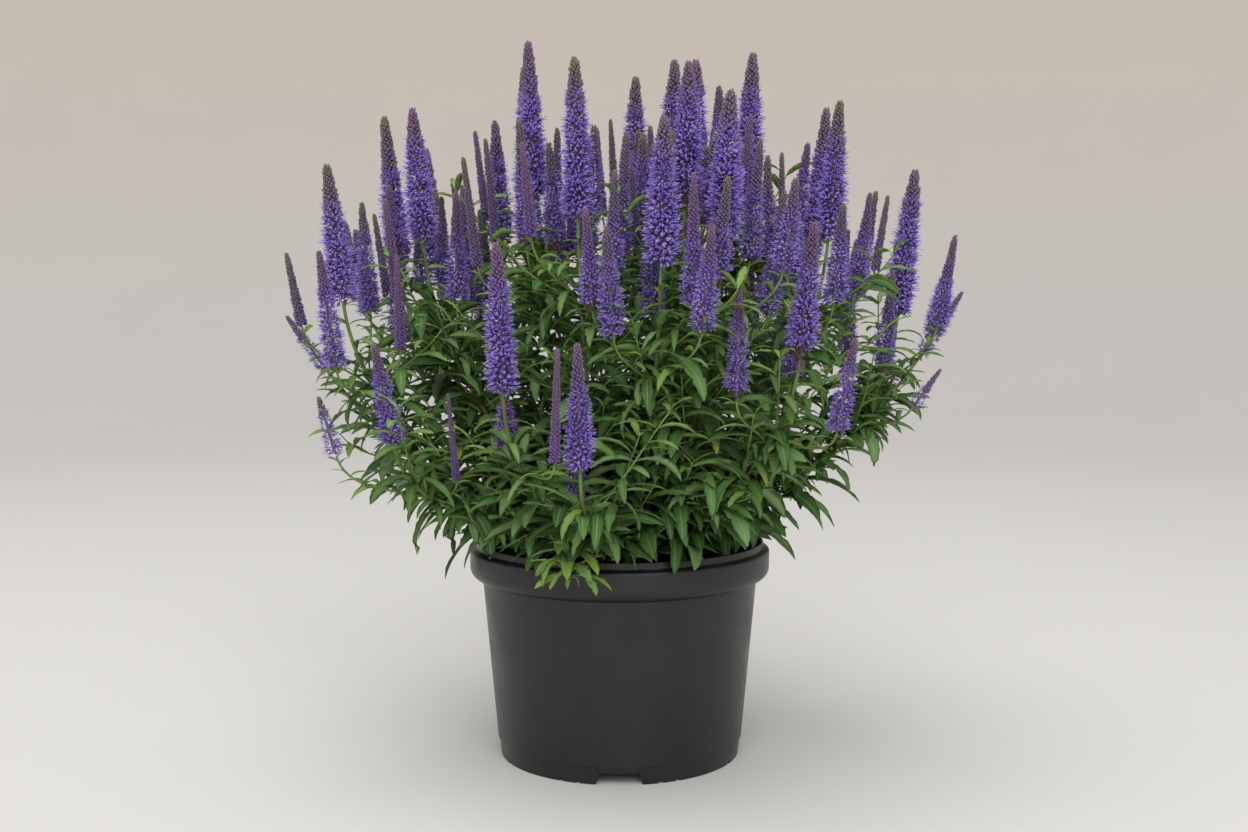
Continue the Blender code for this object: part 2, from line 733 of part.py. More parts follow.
def leaf_shape(foot, azimuth, length, raised, drooped, room=0.0):
    """One lance-shaped leaf, which leaves the stem raised and arches down to its tip.

    foot is on the stem's axis. room swells it all round, for a test of its clearance.
    """
    outward = np.array([math.cos(azimuth), math.sin(azimuth), 0.0])
    up = np.array([0.0, 0.0, 1.0])
    foot = foot - LEAF_ROOT * outward
    shares = np.linspace(0.0, 1.0, LEAF_STEPS + 1)
    angles = raised - drooped * 0.5 * (shares[1:] + shares[:-1])
    ways = np.cos(angles)[:, None] * outward + np.sin(angles)[:, None] * up
    steps = (length + room) / LEAF_STEPS * ways
    path = np.vstack([foot, foot + np.cumsum(steps, axis=0)])
    side = np.array([-math.sin(azimuth), math.cos(azimuth), 0.0])
    half_width = LEAF_HALF_WIDTH * length / LEAF_LENGTH[1] + room
    keel_down = -0.5 * math.pi
    corner = math.cos(math.pi / 6)  # the edges are this share of the section's radius out
    half_depth = LEAF_HALF_THICKNESS + room
    return spindle(path, LEAF_RINGS, side, half_width / corner, half_depth, LEAF_SIDES, keel_down)


def tree_of(found):
    """A search tree of an object's faces as the viewport evaluates it."""
    graph = bpy.context.evaluated_depsgraph_get()
    return BVHTree.FromObject(found, graph)


def leaf_places(shoot, random):
    """(pair, foot, azimuth, raise, droop) of each leaf of a stem, each pair square to the last."""
    path = stem_path(shoot)[: leafy_pieces(shoot) + 1]
    turn = random.uniform(0.0, math.pi)
    for pair, share in enumerate(np.linspace(LEAF_FOOT, LEAF_HEAD, LEAF_PAIRS)):
        foot, _ = point_at(path, float(share))
        raised = math.radians(np.interp(share, (0.0, 1.0), LEAF_RAISE_DEG))
        drooped = math.radians(np.interp(share, (0.0, 1.0), LEAF_DROOP_DEG))
        for half in range(2):
            azimuth = turn + 0.5 * math.pi * pair + math.pi * half + random.normal(0.0, LEAF_TURN_SCATTER)
            rise = raised + random.normal(0.0, LEAF_RAISE_SCATTER)
            yield pair, foot, azimuth, rise, drooped + random.normal(0.0, LEAF_DROOP_SCATTER)


def make_stem(shoot, name, others, parts, material, random):
    """One stem and its leaves, grown together. A leaf that would touch another piece is left out."""
    knots = leafy_pieces(shoot) + 1
    trunk = tube(name + "_stem", stem_path(shoot)[:knots], stem_radii()[:knots], 0, parts)
    shapes = []
    grown = []
    for pair, foot, azimuth, raised, drooped in leaf_places(shoot, random):
        full = random.uniform(*LEAF_LENGTH)
        lower = [leaf for below, leaf in grown if below < pair]
        for shrink in LEAF_SHRINKS:
            swollen = leaf_shape(foot, azimuth, shrink * full, raised, drooped, LEAF_ROOM)
            tree = BVHTree.FromBMesh(swollen)
            swollen.free()
            if not any(tree.overlap(other) for other in others + lower):
                shapes.append(leaf_shape(foot, azimuth, shrink * full, raised, drooped))
                grown.append((pair, tree))
                break
    stem = grown_together(name, trunk, shapes, parts, material)
    shaded(stem, STEM_SHARP_DEG)
    return stem


def bare_stem_tree(shoot):
    """A search tree of a stem before any leaf grows on it."""
    radius = STEM_FOOT_RADIUS + LEAF_ROOM
    rings = tuple((share, 1.0) for share in np.linspace(0.02, 0.98, 8))
    bare = spindle(stem_path(shoot), rings, (1.0, 0.0, 0.0), radius, radius, 6)
    tree = BVHTree.FromBMesh(bare)
    bare.free()
    return tree


def drooping_shoot():
    """The flowerless shoot that hangs over the rim in front."""
    tip = (COLLAR_RADIUS + DROOPING_REACH) * leaning(DROOPING_TURN, 0.5 * math.pi)
    tip[2] = POT_HEIGHT + DROOPING_LIFT
    rise = math.radians(DROOPING_RISE_DEG)
    foot = crown_point(DROOPING_TURN, CROWN_RADIUS, rise)
    end = tip + DROOPING_BUD * unit(DROOPING_FALL)
    leave = leaning(DROOPING_TURN, rise)
    return Shoot("drooping", foot, leave, tip, end, SIDE_SPIKE_RADIUS, 0, flowers=False)


def main():
    """Builds the pot, its compost and the clump."""
    clear_scene()
    parts = new_collection("potted_speedwell")
    cutters = new_collection("cutters")
    random = np.random.default_rng(SEED)
    leaf = new_material("leaf_green", (0.075, 0.165, 0.050), 0.55)
    petal = new_material("petal_violet", (0.105, 0.060, 0.420), 0.70)

    pot = make_pot(parts, cutters)
    compost = make_compost(parts)
    shoots = lay_out(random)
    heads = [make_head(shoot, parts, petal) for shoot in shoots]
    shoots.append(drooping_shoot())

    fixed = [tree_of(found) for found in (pot, compost, *heads)]
    trees = [bare_stem_tree(shoot) for shoot in shoots]
    for index, shoot in enumerate(shoots):
        others = fixed + trees[:index] + trees[index + 1 :]
        name = f"leafy_stem_{shoot.name}" if shoot.flowers else "drooping_shoot"
        trees[index] = tree_of(make_stem(shoot, name, others, parts, leaf, random))


main()
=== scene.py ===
"""Potted speedwell: the finished look of the pot, the compost, the leafy stems and the flower spikes.

Metres, +Z up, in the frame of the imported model. The stems and spikes stand where that model has
them: their feet, tips and sizes are read from its nodes, and every leaf, floret and bud grows
from them by rule.
"""

import logging
import math
from collections.abc import Iterable
from dataclasses import dataclass, field
from enum import Enum

import bpy
import numpy as np
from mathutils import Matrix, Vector


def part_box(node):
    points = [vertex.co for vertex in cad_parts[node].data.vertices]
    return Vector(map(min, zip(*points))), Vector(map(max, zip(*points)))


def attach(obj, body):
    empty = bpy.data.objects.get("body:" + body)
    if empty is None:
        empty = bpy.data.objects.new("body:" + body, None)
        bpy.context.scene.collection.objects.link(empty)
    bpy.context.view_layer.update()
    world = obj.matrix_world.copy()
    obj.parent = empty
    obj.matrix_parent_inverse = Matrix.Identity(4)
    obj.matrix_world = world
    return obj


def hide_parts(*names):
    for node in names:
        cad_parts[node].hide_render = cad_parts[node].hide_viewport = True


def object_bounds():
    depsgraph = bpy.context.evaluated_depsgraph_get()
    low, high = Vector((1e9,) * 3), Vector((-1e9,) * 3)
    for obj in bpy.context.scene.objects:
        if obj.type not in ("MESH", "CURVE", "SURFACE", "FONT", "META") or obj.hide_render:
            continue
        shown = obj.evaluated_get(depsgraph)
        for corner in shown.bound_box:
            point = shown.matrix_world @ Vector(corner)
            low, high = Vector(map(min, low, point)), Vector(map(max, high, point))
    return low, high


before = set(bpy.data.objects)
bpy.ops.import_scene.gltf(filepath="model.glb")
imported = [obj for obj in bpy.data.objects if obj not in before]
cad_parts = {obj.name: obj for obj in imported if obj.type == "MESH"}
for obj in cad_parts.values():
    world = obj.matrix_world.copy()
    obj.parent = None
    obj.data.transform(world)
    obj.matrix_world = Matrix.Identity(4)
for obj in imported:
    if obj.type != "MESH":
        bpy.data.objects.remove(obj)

Array = np.ndarray
Colour = tuple[float, float, float]
Pair = tuple[float, float]
Random = np.random.Generator
Shape = tuple[Array, Array]  # points and triangles
log = logging.getLogger("speedwell")

GOLDEN_ANGLE = math.radians(137.508)
UP = np.array([0.0, 0.0, 1.0])
SPINDLE_HINT = np.array([0.31, 0.87, 0.38])  # no spindle, stalk or spike points along its hint
STALK_HINT = np.array([0.93, 0.17, 0.11])
SPIKE_HINT = np.array([0.21, 0.93, 0.13])


# ---------------------------------------------------------------------------------- geometry


def turns(count: int) -> Array:
    """Angles of a whole turn in even steps, from 0."""
    return np.linspace(0.0, 2 * math.pi, count, endpoint=False)


def arc(centre: Pair, size: float, start_deg: float, end_deg: float, count: int = 6) -> list[Pair]:
    """Points of an arc: the centre plus size times (cos a, sin a).

    Args:
        centre: Its centre.
        size: Its radius.
        start_deg: Angle where it starts.
        end_deg: Angle where it ends.
        count: Number of points.

    Returns:
        Its points in order.
    """
    turn = np.radians(np.linspace(start_deg, end_deg, count))
    return list(zip(centre[0] + size * np.cos(turn), centre[1] + size * np.sin(turn), strict=True))


def unit(vectors: Array) -> Array:
    """Each vector of the last axis at length one."""
    return vectors / np.maximum(np.linalg.norm(vectors, axis=-1, keepdims=True), 1e-12)


def heading(azimuth: Array) -> Array:
    """Level unit vectors that point along azimuths."""
    return np.stack([np.cos(azimuth), np.sin(azimuth), np.zeros_like(azimuth)], axis=-1)


def cubic(start: Array, first: Array, second: Array, end: Array, count: int) -> Array:
    """Points on a cubic curve.

    Args:
        start: Where the curve starts.
        first: Its first handle.
        second: Its second handle.
        end: Where it ends.
        count: Number of points.

    Returns:
        (count, 3) points of (1-t)^3 a + 3t(1-t)^2 b + 3t^2(1-t) c + t^3 d.
    """
    t = np.linspace(0.0, 1.0, count)[:, None]
    near, far = (1 - t) ** 3 * start + 3 * t * (1 - t) ** 2 * first, 3 * t**2 * (1 - t) * second
    return near + far + t**3 * end


def places_along(path: Array, shares: Array) -> tuple[Array, Array]:
    """Points and directions at shares of the way along a path.

    Args:
        path: (n, 3) points.
        shares: (k,) shares of its length, 0 to 1.

    Returns:
        (k, 3) points and (k, 3) unit directions.
    """
    lengths = np.linalg.norm(np.diff(path, axis=0), axis=1)
    reached = np.concatenate([[0.0], np.cumsum(lengths)])
    wanted = shares * reached[-1]
    slopes = np.gradient(path, axis=0)
    points = np.stack([np.interp(wanted, reached, path[:, i]) for i in range(3)], axis=-1)
    turns = np.stack([np.interp(wanted, reached, slopes[:, i]) for i in range(3)], axis=-1)
    return points, unit(turns)


def path_length(path: Array) -> float:
    """Length of a path."""
    return float(np.linalg.norm(np.diff(path, axis=0), axis=1).sum())


def grid_triangles(rows: int, columns: int) -> Array:
    """Triangles of a grid of points whose columns close round.

    Args:
        rows: Number of rings.
        columns: Points in a ring.

    Returns:
        (n, 3) point numbers, ring after ring.
    """
    index = np.arange(rows * columns).reshape(rows, columns)
    ahead = np.roll(index, -1, axis=1)
    cells = [index[:-1], ahead[:-1], ahead[1:], index[:-1], ahead[1:], index[1:]]
    return np.stack(cells, axis=-1).reshape(-1, 3)


def skin_triangles(rings: int, sides: int) -> Array:
    """Triangles of a closed skin: rings of points, then the pole at its start and at its end.

    Args:
        rings: Number of rings between the poles.
        sides: Points in a ring, anticlockwise seen from the end.

    Returns:
        (n, 3) point numbers, facing out.
    """
    index = np.arange(rings * sides).reshape(rings, sides)
    ahead = np.roll(index, -1, axis=1)
    start, end = np.full(sides, rings * sides), np.full(sides, rings * sides + 1)
    foot = np.stack([start, ahead[0], index[0]], axis=-1)
    head = np.stack([end, index[-1], ahead[-1]], axis=-1)
    return np.vstack([grid_triangles(rings, sides), foot, head])


def square_to(along: Array, hint: Array) -> tuple[Array, Array]:
    """Two unit vectors square to a direction and to each other.

    Args:
        along: (..., 3) directions.
        hint: A vector that is parallel to none of them.

    Returns:
        The cross product of direction and hint, and that of the direction and it.
    """
    across = unit(np.cross(along, hint))
    return across, np.cross(along, across)


def spindle(start: Array, end: Array, rings: Iterable[Pair], sides: int) -> Shape:
    """A closed spindle between two points.

    Args:
        start: Its first pole.
        end: Its second pole.
        rings: (share along, radius) of each ring.
        sides: Points in a ring.

    Returns:
        Points and triangles. A ring is its centre plus radius times (cos a, sin a) across the axis.
    """
    along = unit(end - start)
    across, through = square_to(along, SPINDLE_HINT)
    turn = turns(sides)[:, None]
    circle = np.cos(turn) * across + np.sin(turn) * through
    loops = [start + share * (end - start) + radius * circle for share, radius in rings]
    return np.vstack([*loops, start, end]), skin_triangles(len(loops), sides)


def merged(shapes: Iterable[Shape]) -> Shape:
    """Several shapes as one.

    Args:
        shapes: The shapes.

    Returns:
        All their points, and triangles that count through them.
    """
    points, triangles, count = [], [], 0
    for place, faces in shapes:
        points.append(place)
        triangles.append(faces + count)
        count += len(place)
    return np.vstack(points), np.vstack(triangles)


@dataclass
class Batch:
    """Surface gathered for one piece: points, triangles and values that its finish reads."""

    names: tuple[str, ...]
    points: list[Array] = field(default_factory=list)
    triangles: list[Array] = field(default_factory=list)
    values: dict[str, list[Array]] = field(default_factory=dict)
    count: int = 0

    def add(self, points: Array, triangles: Array, **values: Array | float) -> None:
        """Adds a surface.

        Args:
            points: (n, 3) points.
            triangles: (m, 3) point numbers.
            values: One number or (n,) numbers for each of the batch's names; 0 where left out.
        """
        self.points.append(points)
        self.triangles.append(triangles + self.count)
        for name in self.names:
            spread = np.broadcast_to(values.get(name, 0.0), (len(points),))
            self.values.setdefault(name, []).append(spread.astype(np.float32))
        self.count += len(points)

    def add_many(self, points: Array, triangles: Array, **values: Array | float) -> None:
        """Adds surfaces that share their triangles.

        Args:
            points: (k, n, 3) points of each.
            triangles: (m, 3) point numbers in any one of them.
            values: Numbers that broadcast to (k, n).
        """
        count, size = points.shape[:2]
        steps = (np.arange(count) * size)[:, None, None]
        flat = {name: np.broadcast_to(value, (count, size)).ravel() for name, value in values.items()}
        self.add(points.reshape(-1, 3), (triangles[None] + steps).reshape(-1, 3), **flat)

    def add_copies(self, shape: Shape, origins: Array, axes: Array, **values: Array | float) -> None:
        """Adds copies of a shape.

        Args:
            shape: The shape.
            origins: (k, 3) place of each copy's origin.
            axes: (k, 3, 3) images of the shape's X, Y and Z, in rows.
            values: Numbers that broadcast to (k, points).
        """
        placed = origins[:, None, :] + np.einsum("pa,kab->kpb", shape[0], axes)
        self.add_many(placed, shape[1], **values)

    def piece(self, name: str, sharp_deg: float | None = None) -> bpy.types.Object:
        """Makes the mesh object.

        Args:
            name: The piece's name.
            sharp_deg: Angle above which an edge is sharp; all smooth without it.

        Returns:
            The object, at the origin.
        """
        points, triangles = np.vstack(self.points), np.vstack(self.triangles)
        mesh = bpy.data.meshes.new(name)
        mesh.vertices.add(len(points))
        mesh.vertices.foreach_set("co", points.astype(np.float32).ravel())
        mesh.loops.add(triangles.size)
        mesh.loops.foreach_set("vertex_index", triangles.astype(np.int32).ravel())
        mesh.polygons.add(len(triangles))
        mesh.polygons.foreach_set("loop_start", np.arange(0, triangles.size, 3, dtype=np.int32))
        for label in self.names:
            layer = mesh.attributes.new(label, "FLOAT", "POINT")
            layer.data.foreach_set("value", np.concatenate(self.values[label]))
        mesh.update(calc_edges=True)
        mesh.validate()
        mesh.shade_smooth()
        if sharp_deg is not None:
            mesh.set_sharp_from_angle(angle=math.radians(sharp_deg))
        made = bpy.data.objects.new(name, mesh)
        bpy.context.scene.collection.objects.link(made)
        return made


def hand_over(piece: bpy.types.Object, finish: bpy.types.Material, slot: str, *nodes: str) -> None:
    """Dresses a finished piece, hangs it on the root body and hides the CAD nodes it stands for.

    Args:
        piece: The mesh object.
        finish: Its material.
        slot: The record's material slot; not used.
        nodes: The CAD nodes it stands for.
    """
    piece.data.materials.append(finish)
    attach(piece, "root")
    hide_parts(*nodes)
    log.info("%s: %d triangles, for %s", piece.name, len(piece.data.polygons), ", ".join(nodes))


# ---------------------------------------------------------------------------------- finishes


Input = "Socket | float | tuple[float, ...]"


class Socket:
    """A node's output, on which arithmetic adds Math nodes."""

    def __init__(self, tree: "Tree", output: bpy.types.NodeSocket) -> None:
        """Wraps an output of a tree."""
        self.tree = tree
        self.output = output

    def maths(self, operation: str, *values: "Input") -> "Socket":
        """A Math node on values."""
        return self.tree.node("ShaderNodeMath", {"operation": operation}, dict(enumerate(values)))

    def __add__(self, other: "Input") -> "Socket":
        """self + other."""
        return self.maths("ADD", self, other)

    def __radd__(self, other: "Input") -> "Socket":
        """other + self."""
        return self.maths("ADD", other, self)

    def __sub__(self, other: "Input") -> "Socket":
        """self - other."""
        return self.maths("SUBTRACT", self, other)

    def __rsub__(self, other: "Input") -> "Socket":
        """other - self."""
        return self.maths("SUBTRACT", other, self)

    def __mul__(self, other: "Input") -> "Socket":
        """self * other."""
        return self.maths("MULTIPLY", self, other)

    def __rmul__(self, other: "Input") -> "Socket":
        """other * self."""
        return self.maths("MULTIPLY", other, self)

    def __pow__(self, other: "Input") -> "Socket":
        """self ** other."""
        return self.maths("POWER", self, other)

    def __abs__(self) -> "Socket":
        """The size of self."""
        return self.maths("ABSOLUTE", self)

    def sine(self) -> "Socket":
        """The sine of self."""
        return self.maths("SINE", self)

    def step(self, low: float, high: float) -> "Socket":
        """0 below low, 1 above high, and a smooth rise between."""
        values = {"Value": self, "From Min": low, "From Max": high}
        return self.tree.node("ShaderNodeMapRange", {"interpolation_type": "SMOOTHSTEP"}, values)


class Tree:
    """The nodes of one finish."""

    def __init__(self, name: str) -> None:
        """Starts a material with its Principled shader.

        Args:
            name: The material's name.
        """
        self.material = bpy.data.materials.new(name)
        self.material.use_nodes = True
        self.nodes = self.material.node_tree.nodes
        self.links = self.material.node_tree.links
        self.shader = self.nodes["Principled BSDF"]

    def node(
        self, kind: str, settings: dict | None = None, values: dict | None = None, out: int = 0
    ) -> Socket:
        """Adds a node.

        Args:
            kind: Its type.
            settings: Its own settings, or a ramp's stops under "stops".
            values: Numbers, colours or sockets for its inputs, by name, identifier or number.
            out: Number of the output.

        Returns:
            That output.
        """
        made = self.nodes.new(kind)
        for name, setting in (settings or {}).items():
            if name == "stops":
                self.set_stops(made.color_ramp, setting)
            else:
                setattr(made, name, setting)
        for name, value in (values or {}).items():
            self.feed(self.input_of(made, name), value)
        return Socket(self, made.outputs[out])

    @staticmethod
    def set_stops(ramp: bpy.types.ColorRamp, stops: Iterable[tuple[float, tuple]]) -> None:
        """Gives a ramp its stops.

        Args:
            ramp: The ramp.
            stops: (place, colour) of each.
        """
        stops = list(stops)
        while len(ramp.elements) < len(stops):
            ramp.elements.new(1.0)
        for element, (place, colour) in zip(ramp.elements, stops, strict=True):
            element.position = place
            element.color = (*colour, 1.0)

    @staticmethod
    def input_of(made: bpy.types.Node, name: str | int) -> bpy.types.NodeSocket:
        """An input of a node.

        Args:
            made: The node.
            name: The input's number, identifier or name.

        Returns:
            The input.
        """
        if isinstance(name, int):
            return made.inputs[name]
        for found in made.inputs:
            if found.identifier == name:
                return found
        return made.inputs[name]

    def feed(self, found: bpy.types.NodeSocket, value: "Input") -> None:
        """Links a socket to an input, or sets the input to a value.

        Args:
            found: The input.
            value: What it gets.
        """
        if isinstance(value, Socket):
            self.links.new(value.output, found)
        elif isinstance(value, tuple) and found.type == "RGBA":
            found.default_value = (*value, 1.0)
        else:
            found.default_value = value

    def attribute(self, name: str) -> Socket:
        """A value stored on the mesh's points."""
        return self.node("ShaderNodeAttribute", {"attribute_name": name}, out=2)

    def place(self) -> Socket:
        """Object coordinates, in metres."""
        return self.node("ShaderNodeTexCoord", out=3)

    def noise(self, vector: Socket, scale: float, detail: float = 3.0, roughness: float = 0.55) -> Socket:
        """Noise from 0 to 1, scale cells to the metre."""
        values = {"Vector": vector, "Scale": scale, "Detail": detail, "Roughness": roughness}
        return self.node("ShaderNodeTexNoise", None, values)

    def mix(self, factor: "Input", first: "Input", second: "Input") -> Socket:
        """Colour that goes from first to second as factor goes from 0 to 1."""
        values = {"Factor_Float": factor, "A_Color": first, "B_Color": second}
        return self.node("ShaderNodeMix", {"data_type": "RGBA"}, values, out=2)

    def times(self, colour: "Input", by: Socket) -> Socket:
        """A colour scaled by a number."""
        return self.node("ShaderNodeVectorMath", {"operation": "SCALE"}, {0: colour, "Scale": by})

    def ramp(self, value: Socket, stops: Iterable[tuple[float, tuple]]) -> Socket:
        """A colour looked up by a value."""
        return self.node("ShaderNodeValToRGB", {"stops": stops}, {0: value})

    def finish(
        self, colour: Socket, roughness: "Input", height: Socket | None, depth: float, **fixed: object
    ) -> bpy.types.Material:
        """Feeds the shader.

        Args:
            colour: The base colour.
            roughness: The roughness.
            height: Height of the surface's relief, 0 to 1.
            depth: The relief's depth in metres.
            fixed: Values set on the shader itself, with _ for a space in their names.

        Returns:
            The material.
        """
        self.feed(self.shader.inputs["Base Color"], colour)
        self.feed(self.shader.inputs["Roughness"], roughness)
        for name, value in fixed.items():
            self.feed(self.shader.inputs[name.replace("_", " ")], value)
        if height is not None:
            bump = self.node("ShaderNodeBump", None, {"Height": height, "Distance": depth, "Strength": 1.0})
            self.links.new(bump.output, self.shader.inputs["Normal"])
        return self.material


@dataclass(frozen=True)
class NurseryPlastic:
    """Satin charcoal plastic, faintly mottled, with fine scuffs, a little dust low down and painted shade
    underneath.
    """

    deep: Colour = (0.0074, 0.0076, 0.0102)
    pale: Colour = (0.0118, 0.0118, 0.0150)
    dust: Colour = (0.075, 0.066, 0.055)
    # painted shade for the recess under the pot's foot
    recess_shade: Colour = (0.0022, 0.0020, 0.0018)
    rough: float = 0.36

    def build(self) -> bpy.types.Material:
        """Makes the material.

        Returns:
            The material.
        """
        tree = Tree("nursery_plastic")
        place = tree.place()
        mottle = tree.noise(place, 34.0, 5.0, 0.60)
        grain = tree.noise(place, 900.0, 2.0)
        scuffed = tree.node("ShaderNodeMapping", None, {"Vector": place, "Scale": (55.0, 55.0, 620.0)})
        scuff = tree.noise(scuffed, 1.0, 3.0, 0.62).step(0.66, 0.80)
        height = tree.node("ShaderNodeSeparateXYZ", None, {0: place}, out=2)
        specks = tree.noise(place, 300.0, 4.0, 0.75).step(0.60, 0.74)
        low = 1.0 - height.step(0.0, 0.05)
        colour = tree.mix(mottle.step(0.30, 0.70), self.deep, self.pale)
        colour = tree.mix(0.10 * scuff, colour, self.dust)
        colour = tree.mix((0.10 + 0.30 * low) * specks, colour, self.dust)
        axis = tree.node("ShaderNodeVectorMath", {"operation": "MULTIPLY"}, {0: place, 1: (1.0, 1.0, 0.0)})
        radius = tree.node("ShaderNodeVectorMath", {"operation": "LENGTH"}, {0: axis}, out=1)
        # painted shade: the recess under the foot, inside the skirt, is darkened almost to black
        under = (1.0 - height.step(0.010, 0.0125)) * (1.0 - radius.step(0.0890, 0.0902))
        colour = tree.mix(0.85 * under, colour, self.recess_shade)
        roughness = self.rough + 0.16 * mottle.step(0.25, 0.75) + 0.10 * scuff - 0.06
        relief = 0.55 * grain + 0.45 * mottle
        return tree.finish(colour, roughness, relief, 0.00006, IOR=1.49)


@dataclass(frozen=True)
class PottingCompost:
    """Moist dark compost of peat, bark and fibre."""

    dark: Colour = (0.0065, 0.0048, 0.0036)
    brown: Colour = (0.036, 0.023, 0.014)
    bark: Colour = (0.095, 0.055, 0.030)

    def build(self) -> bpy.types.Material:
        """Makes the material.

        Returns:
            The material.
        """
        tree = Tree("potting_compost")
        place = tree.place()
        clods = tree.noise(place, 260.0, 6.0, 0.70)
        chunk = tree.attribute("tint")
        colour = tree.mix(clods.step(0.30, 0.72), self.dark, self.brown)
        colour = tree.mix(chunk * 0.75, colour, self.bark)
        fibre = tree.noise(place, 1100.0, 3.0, 0.6)
        roughness = 0.97 - 0.30 * clods.step(0.55, 0.80)
        return tree.finish(colour, roughness, 0.6 * clods + 0.4 * fibre, 0.0011)


@dataclass(frozen=True)
class Foliage:
    """Leaves and stems: mid green with a paler midrib and a grey-green bloom, yellower when young."""

    old: Colour = (0.038, 0.102, 0.022)
    full: Colour = (0.092, 0.215, 0.050)
    young: Colour = (0.260, 0.420, 0.080)
    rib: Colour = (0.280, 0.430, 0.130)
    under: Colour = (0.160, 0.270, 0.085)
    bloom: Colour = (0.210, 0.340, 0.170)
    stalk: Colour = (0.150, 0.260, 0.060)
    ruddy: Colour = (0.130, 0.060, 0.036)
    scorch: Colour = (0.250, 0.270, 0.045)

    def build(self) -> bpy.types.Material:
        """Makes the material.

        Returns:
            The material.
        """
        tree = Tree("speedwell_foliage")
        place = tree.place()
        along, across = tree.attribute("along"), tree.attribute("across")
        tint, age, part = tree.attribute("tint"), tree.attribute("age"), tree.attribute("part")
        off = abs(across)
        patches = tree.noise(place, 190.0, 3.0, 0.6)
        shade = (tint + 0.35 * (patches - 0.5)).step(0.0, 1.0)
        blade = tree.mix(shade, self.old, self.full)
        blade = tree.mix(1.0 - age.step(0.0, 0.75), blade, self.young)
        blade = tree.mix(0.34 * tint.step(0.55, 1.0), blade, self.bloom)
        veins = ((along * 78.0 - off * 21.0).sine() * 0.5 + 0.5) ** 6.0
        blade = tree.mix(0.16 * veins, blade, self.rib)
        blade = tree.mix(0.42 * (1.0 - off.step(0.02, 0.20)), blade, self.rib)
        blade = tree.mix(part.step(0.35, 0.65), blade, self.under)
        blade = tree.mix(0.9 * tree.attribute("scorch") * along.step(0.62, 0.92), blade, self.scorch)
        red = tree.noise(place, 36.0, 2.0).step(0.42, 0.66) * age
        skin = tree.mix(red * 0.85, self.stalk, self.ruddy)
        colour = tree.mix(part.step(1.35, 1.65), blade, skin)
        fine = tree.noise(place, 1500.0, 2.0)
        relief = 0.45 * (1.0 - veins) + 0.35 * fine + 0.20 * off.step(0.0, 0.3)
        roughness = 0.50 + 0.16 * patches - 0.06 * tint
        return tree.finish(colour, roughness, relief, 0.00022, IOR=1.42)


@dataclass(frozen=True)
class FlowerSpike:
    """Petals, stamens, buds and stalks of the spikes, with painted shade in each floret's middle and
    painted highlights on petal tips.
    """

    petal: Colour = (0.255, 0.145, 0.620)
    # painted highlight on the outer petal tips
    petal_tip_highlight: Colour = (0.500, 0.370, 0.880)
    # painted shade: darkens the petals' bases and the stamens' feet, where the florets crowd
    throat_shade: Colour = (0.090, 0.045, 0.330)
    thread: Colour = (0.400, 0.300, 0.820)
    bud: Colour = (0.175, 0.095, 0.370)
    bud_dull: Colour = (0.175, 0.110, 0.215)
    tip_pink: Colour = (0.225, 0.125, 0.220)
    tip_olive: Colour = (0.200, 0.185, 0.105)
    green: Colour = (0.100, 0.155, 0.055)
    withered: Colour = (0.165, 0.085, 0.045)

    def build(self) -> bpy.types.Material:
        """Makes the material.

        Returns:
            The material.
        """
        tree = Tree("speedwell_flowers")
        place = tree.place()
        part, tint = tree.attribute("part"), tree.attribute("tint")
        up, out = tree.attribute("up"), tree.attribute("out")
        # painted shade at each floret's middle, fading out along the petals
        petals = tree.mix(out.step(0.15, 0.95), self.throat_shade, self.petal)
        # painted highlight on the petal tips, stronger on some florets than others
        petals = tree.mix(tint.step(0.35, 1.0) * out, petals, self.petal_tip_highlight)
        threads = tree.mix(out, self.throat_shade, self.thread)
        stops = ((0.0, self.bud), (0.55, self.bud), (0.80, self.bud_dull), (1.0, self.bud_dull))
        tips = tree.mix(tint.step(0.45, 0.70), self.tip_olive, self.tip_pink)
        buds = tree.mix(up.step(0.86, 1.0), tree.ramp(up, stops), tips)
        buds = tree.mix(0.5 * out.step(0.55, 1.0), buds, tips)
        buds = tree.mix(0.40 * (1.0 - tint), buds, self.green)
        colour = petals
        for below, paint in enumerate((threads, buds, self.green, self.withered)):
            colour = tree.mix(part.step(below + 0.4, below + 0.6), colour, paint)
        mottle = tree.noise(place, 420.0, 2.0)
        colour = tree.times(colour, 0.72 + 0.56 * mottle)
        return tree.finish(colour, 0.62 + 0.2 * mottle, mottle, 0.0001, IOR=1.40)


@dataclass(frozen=True)
class StudioPaper:
    """The pale seamless floor, warmer where it curves up."""

    colour: Colour = (0.74, 0.73, 0.705)
    upper: Colour = (0.80, 0.725, 0.65)

    def build(self) -> bpy.types.Material:
        """Makes the material.

        Returns:
            The material.
        """
        tree = Tree("studio_paper")
        place = tree.place()
        height = tree.node("ShaderNodeSeparateXYZ", None, {0: place}, out=2)
        shade = tree.mix(height.step(0.0, 1.5), self.colour, self.upper)
        shade = tree.times(shade, 0.985 + 0.03 * tree.noise(place, 3.0, 2.0))
        return tree.finish(shade, 0.9, None, 0.0)


# --------------------------------------------------------------------- what the frame holds


def corners(box: tuple[Vector, Vector]) -> list[list[float]]:
    """A box's two corners as plain lists."""
    return [[float(x) for x in corner] for corner in box]


@dataclass(frozen=True)
class Spike:
    """A flower spike: its foot, its tip and the radius of its solid."""

    foot: Array
    tip: Array
    radius: float
    terminal: bool

    @property
    def axis(self) -> Array:
        """The direction from foot to tip."""
        return unit(self.tip - self.foot)

    @property
    def length(self) -> float:
        """The distance from foot to tip."""
        return float(np.linalg.norm(self.tip - self.foot))


@dataclass(frozen=True)
class Fan:
    """What the solid of a spike looks like at its tip: the ring next to it."""

    sides: int
    share: float  # of the spike's length below the ring
    size: float  # the ring's share of the spike's radius


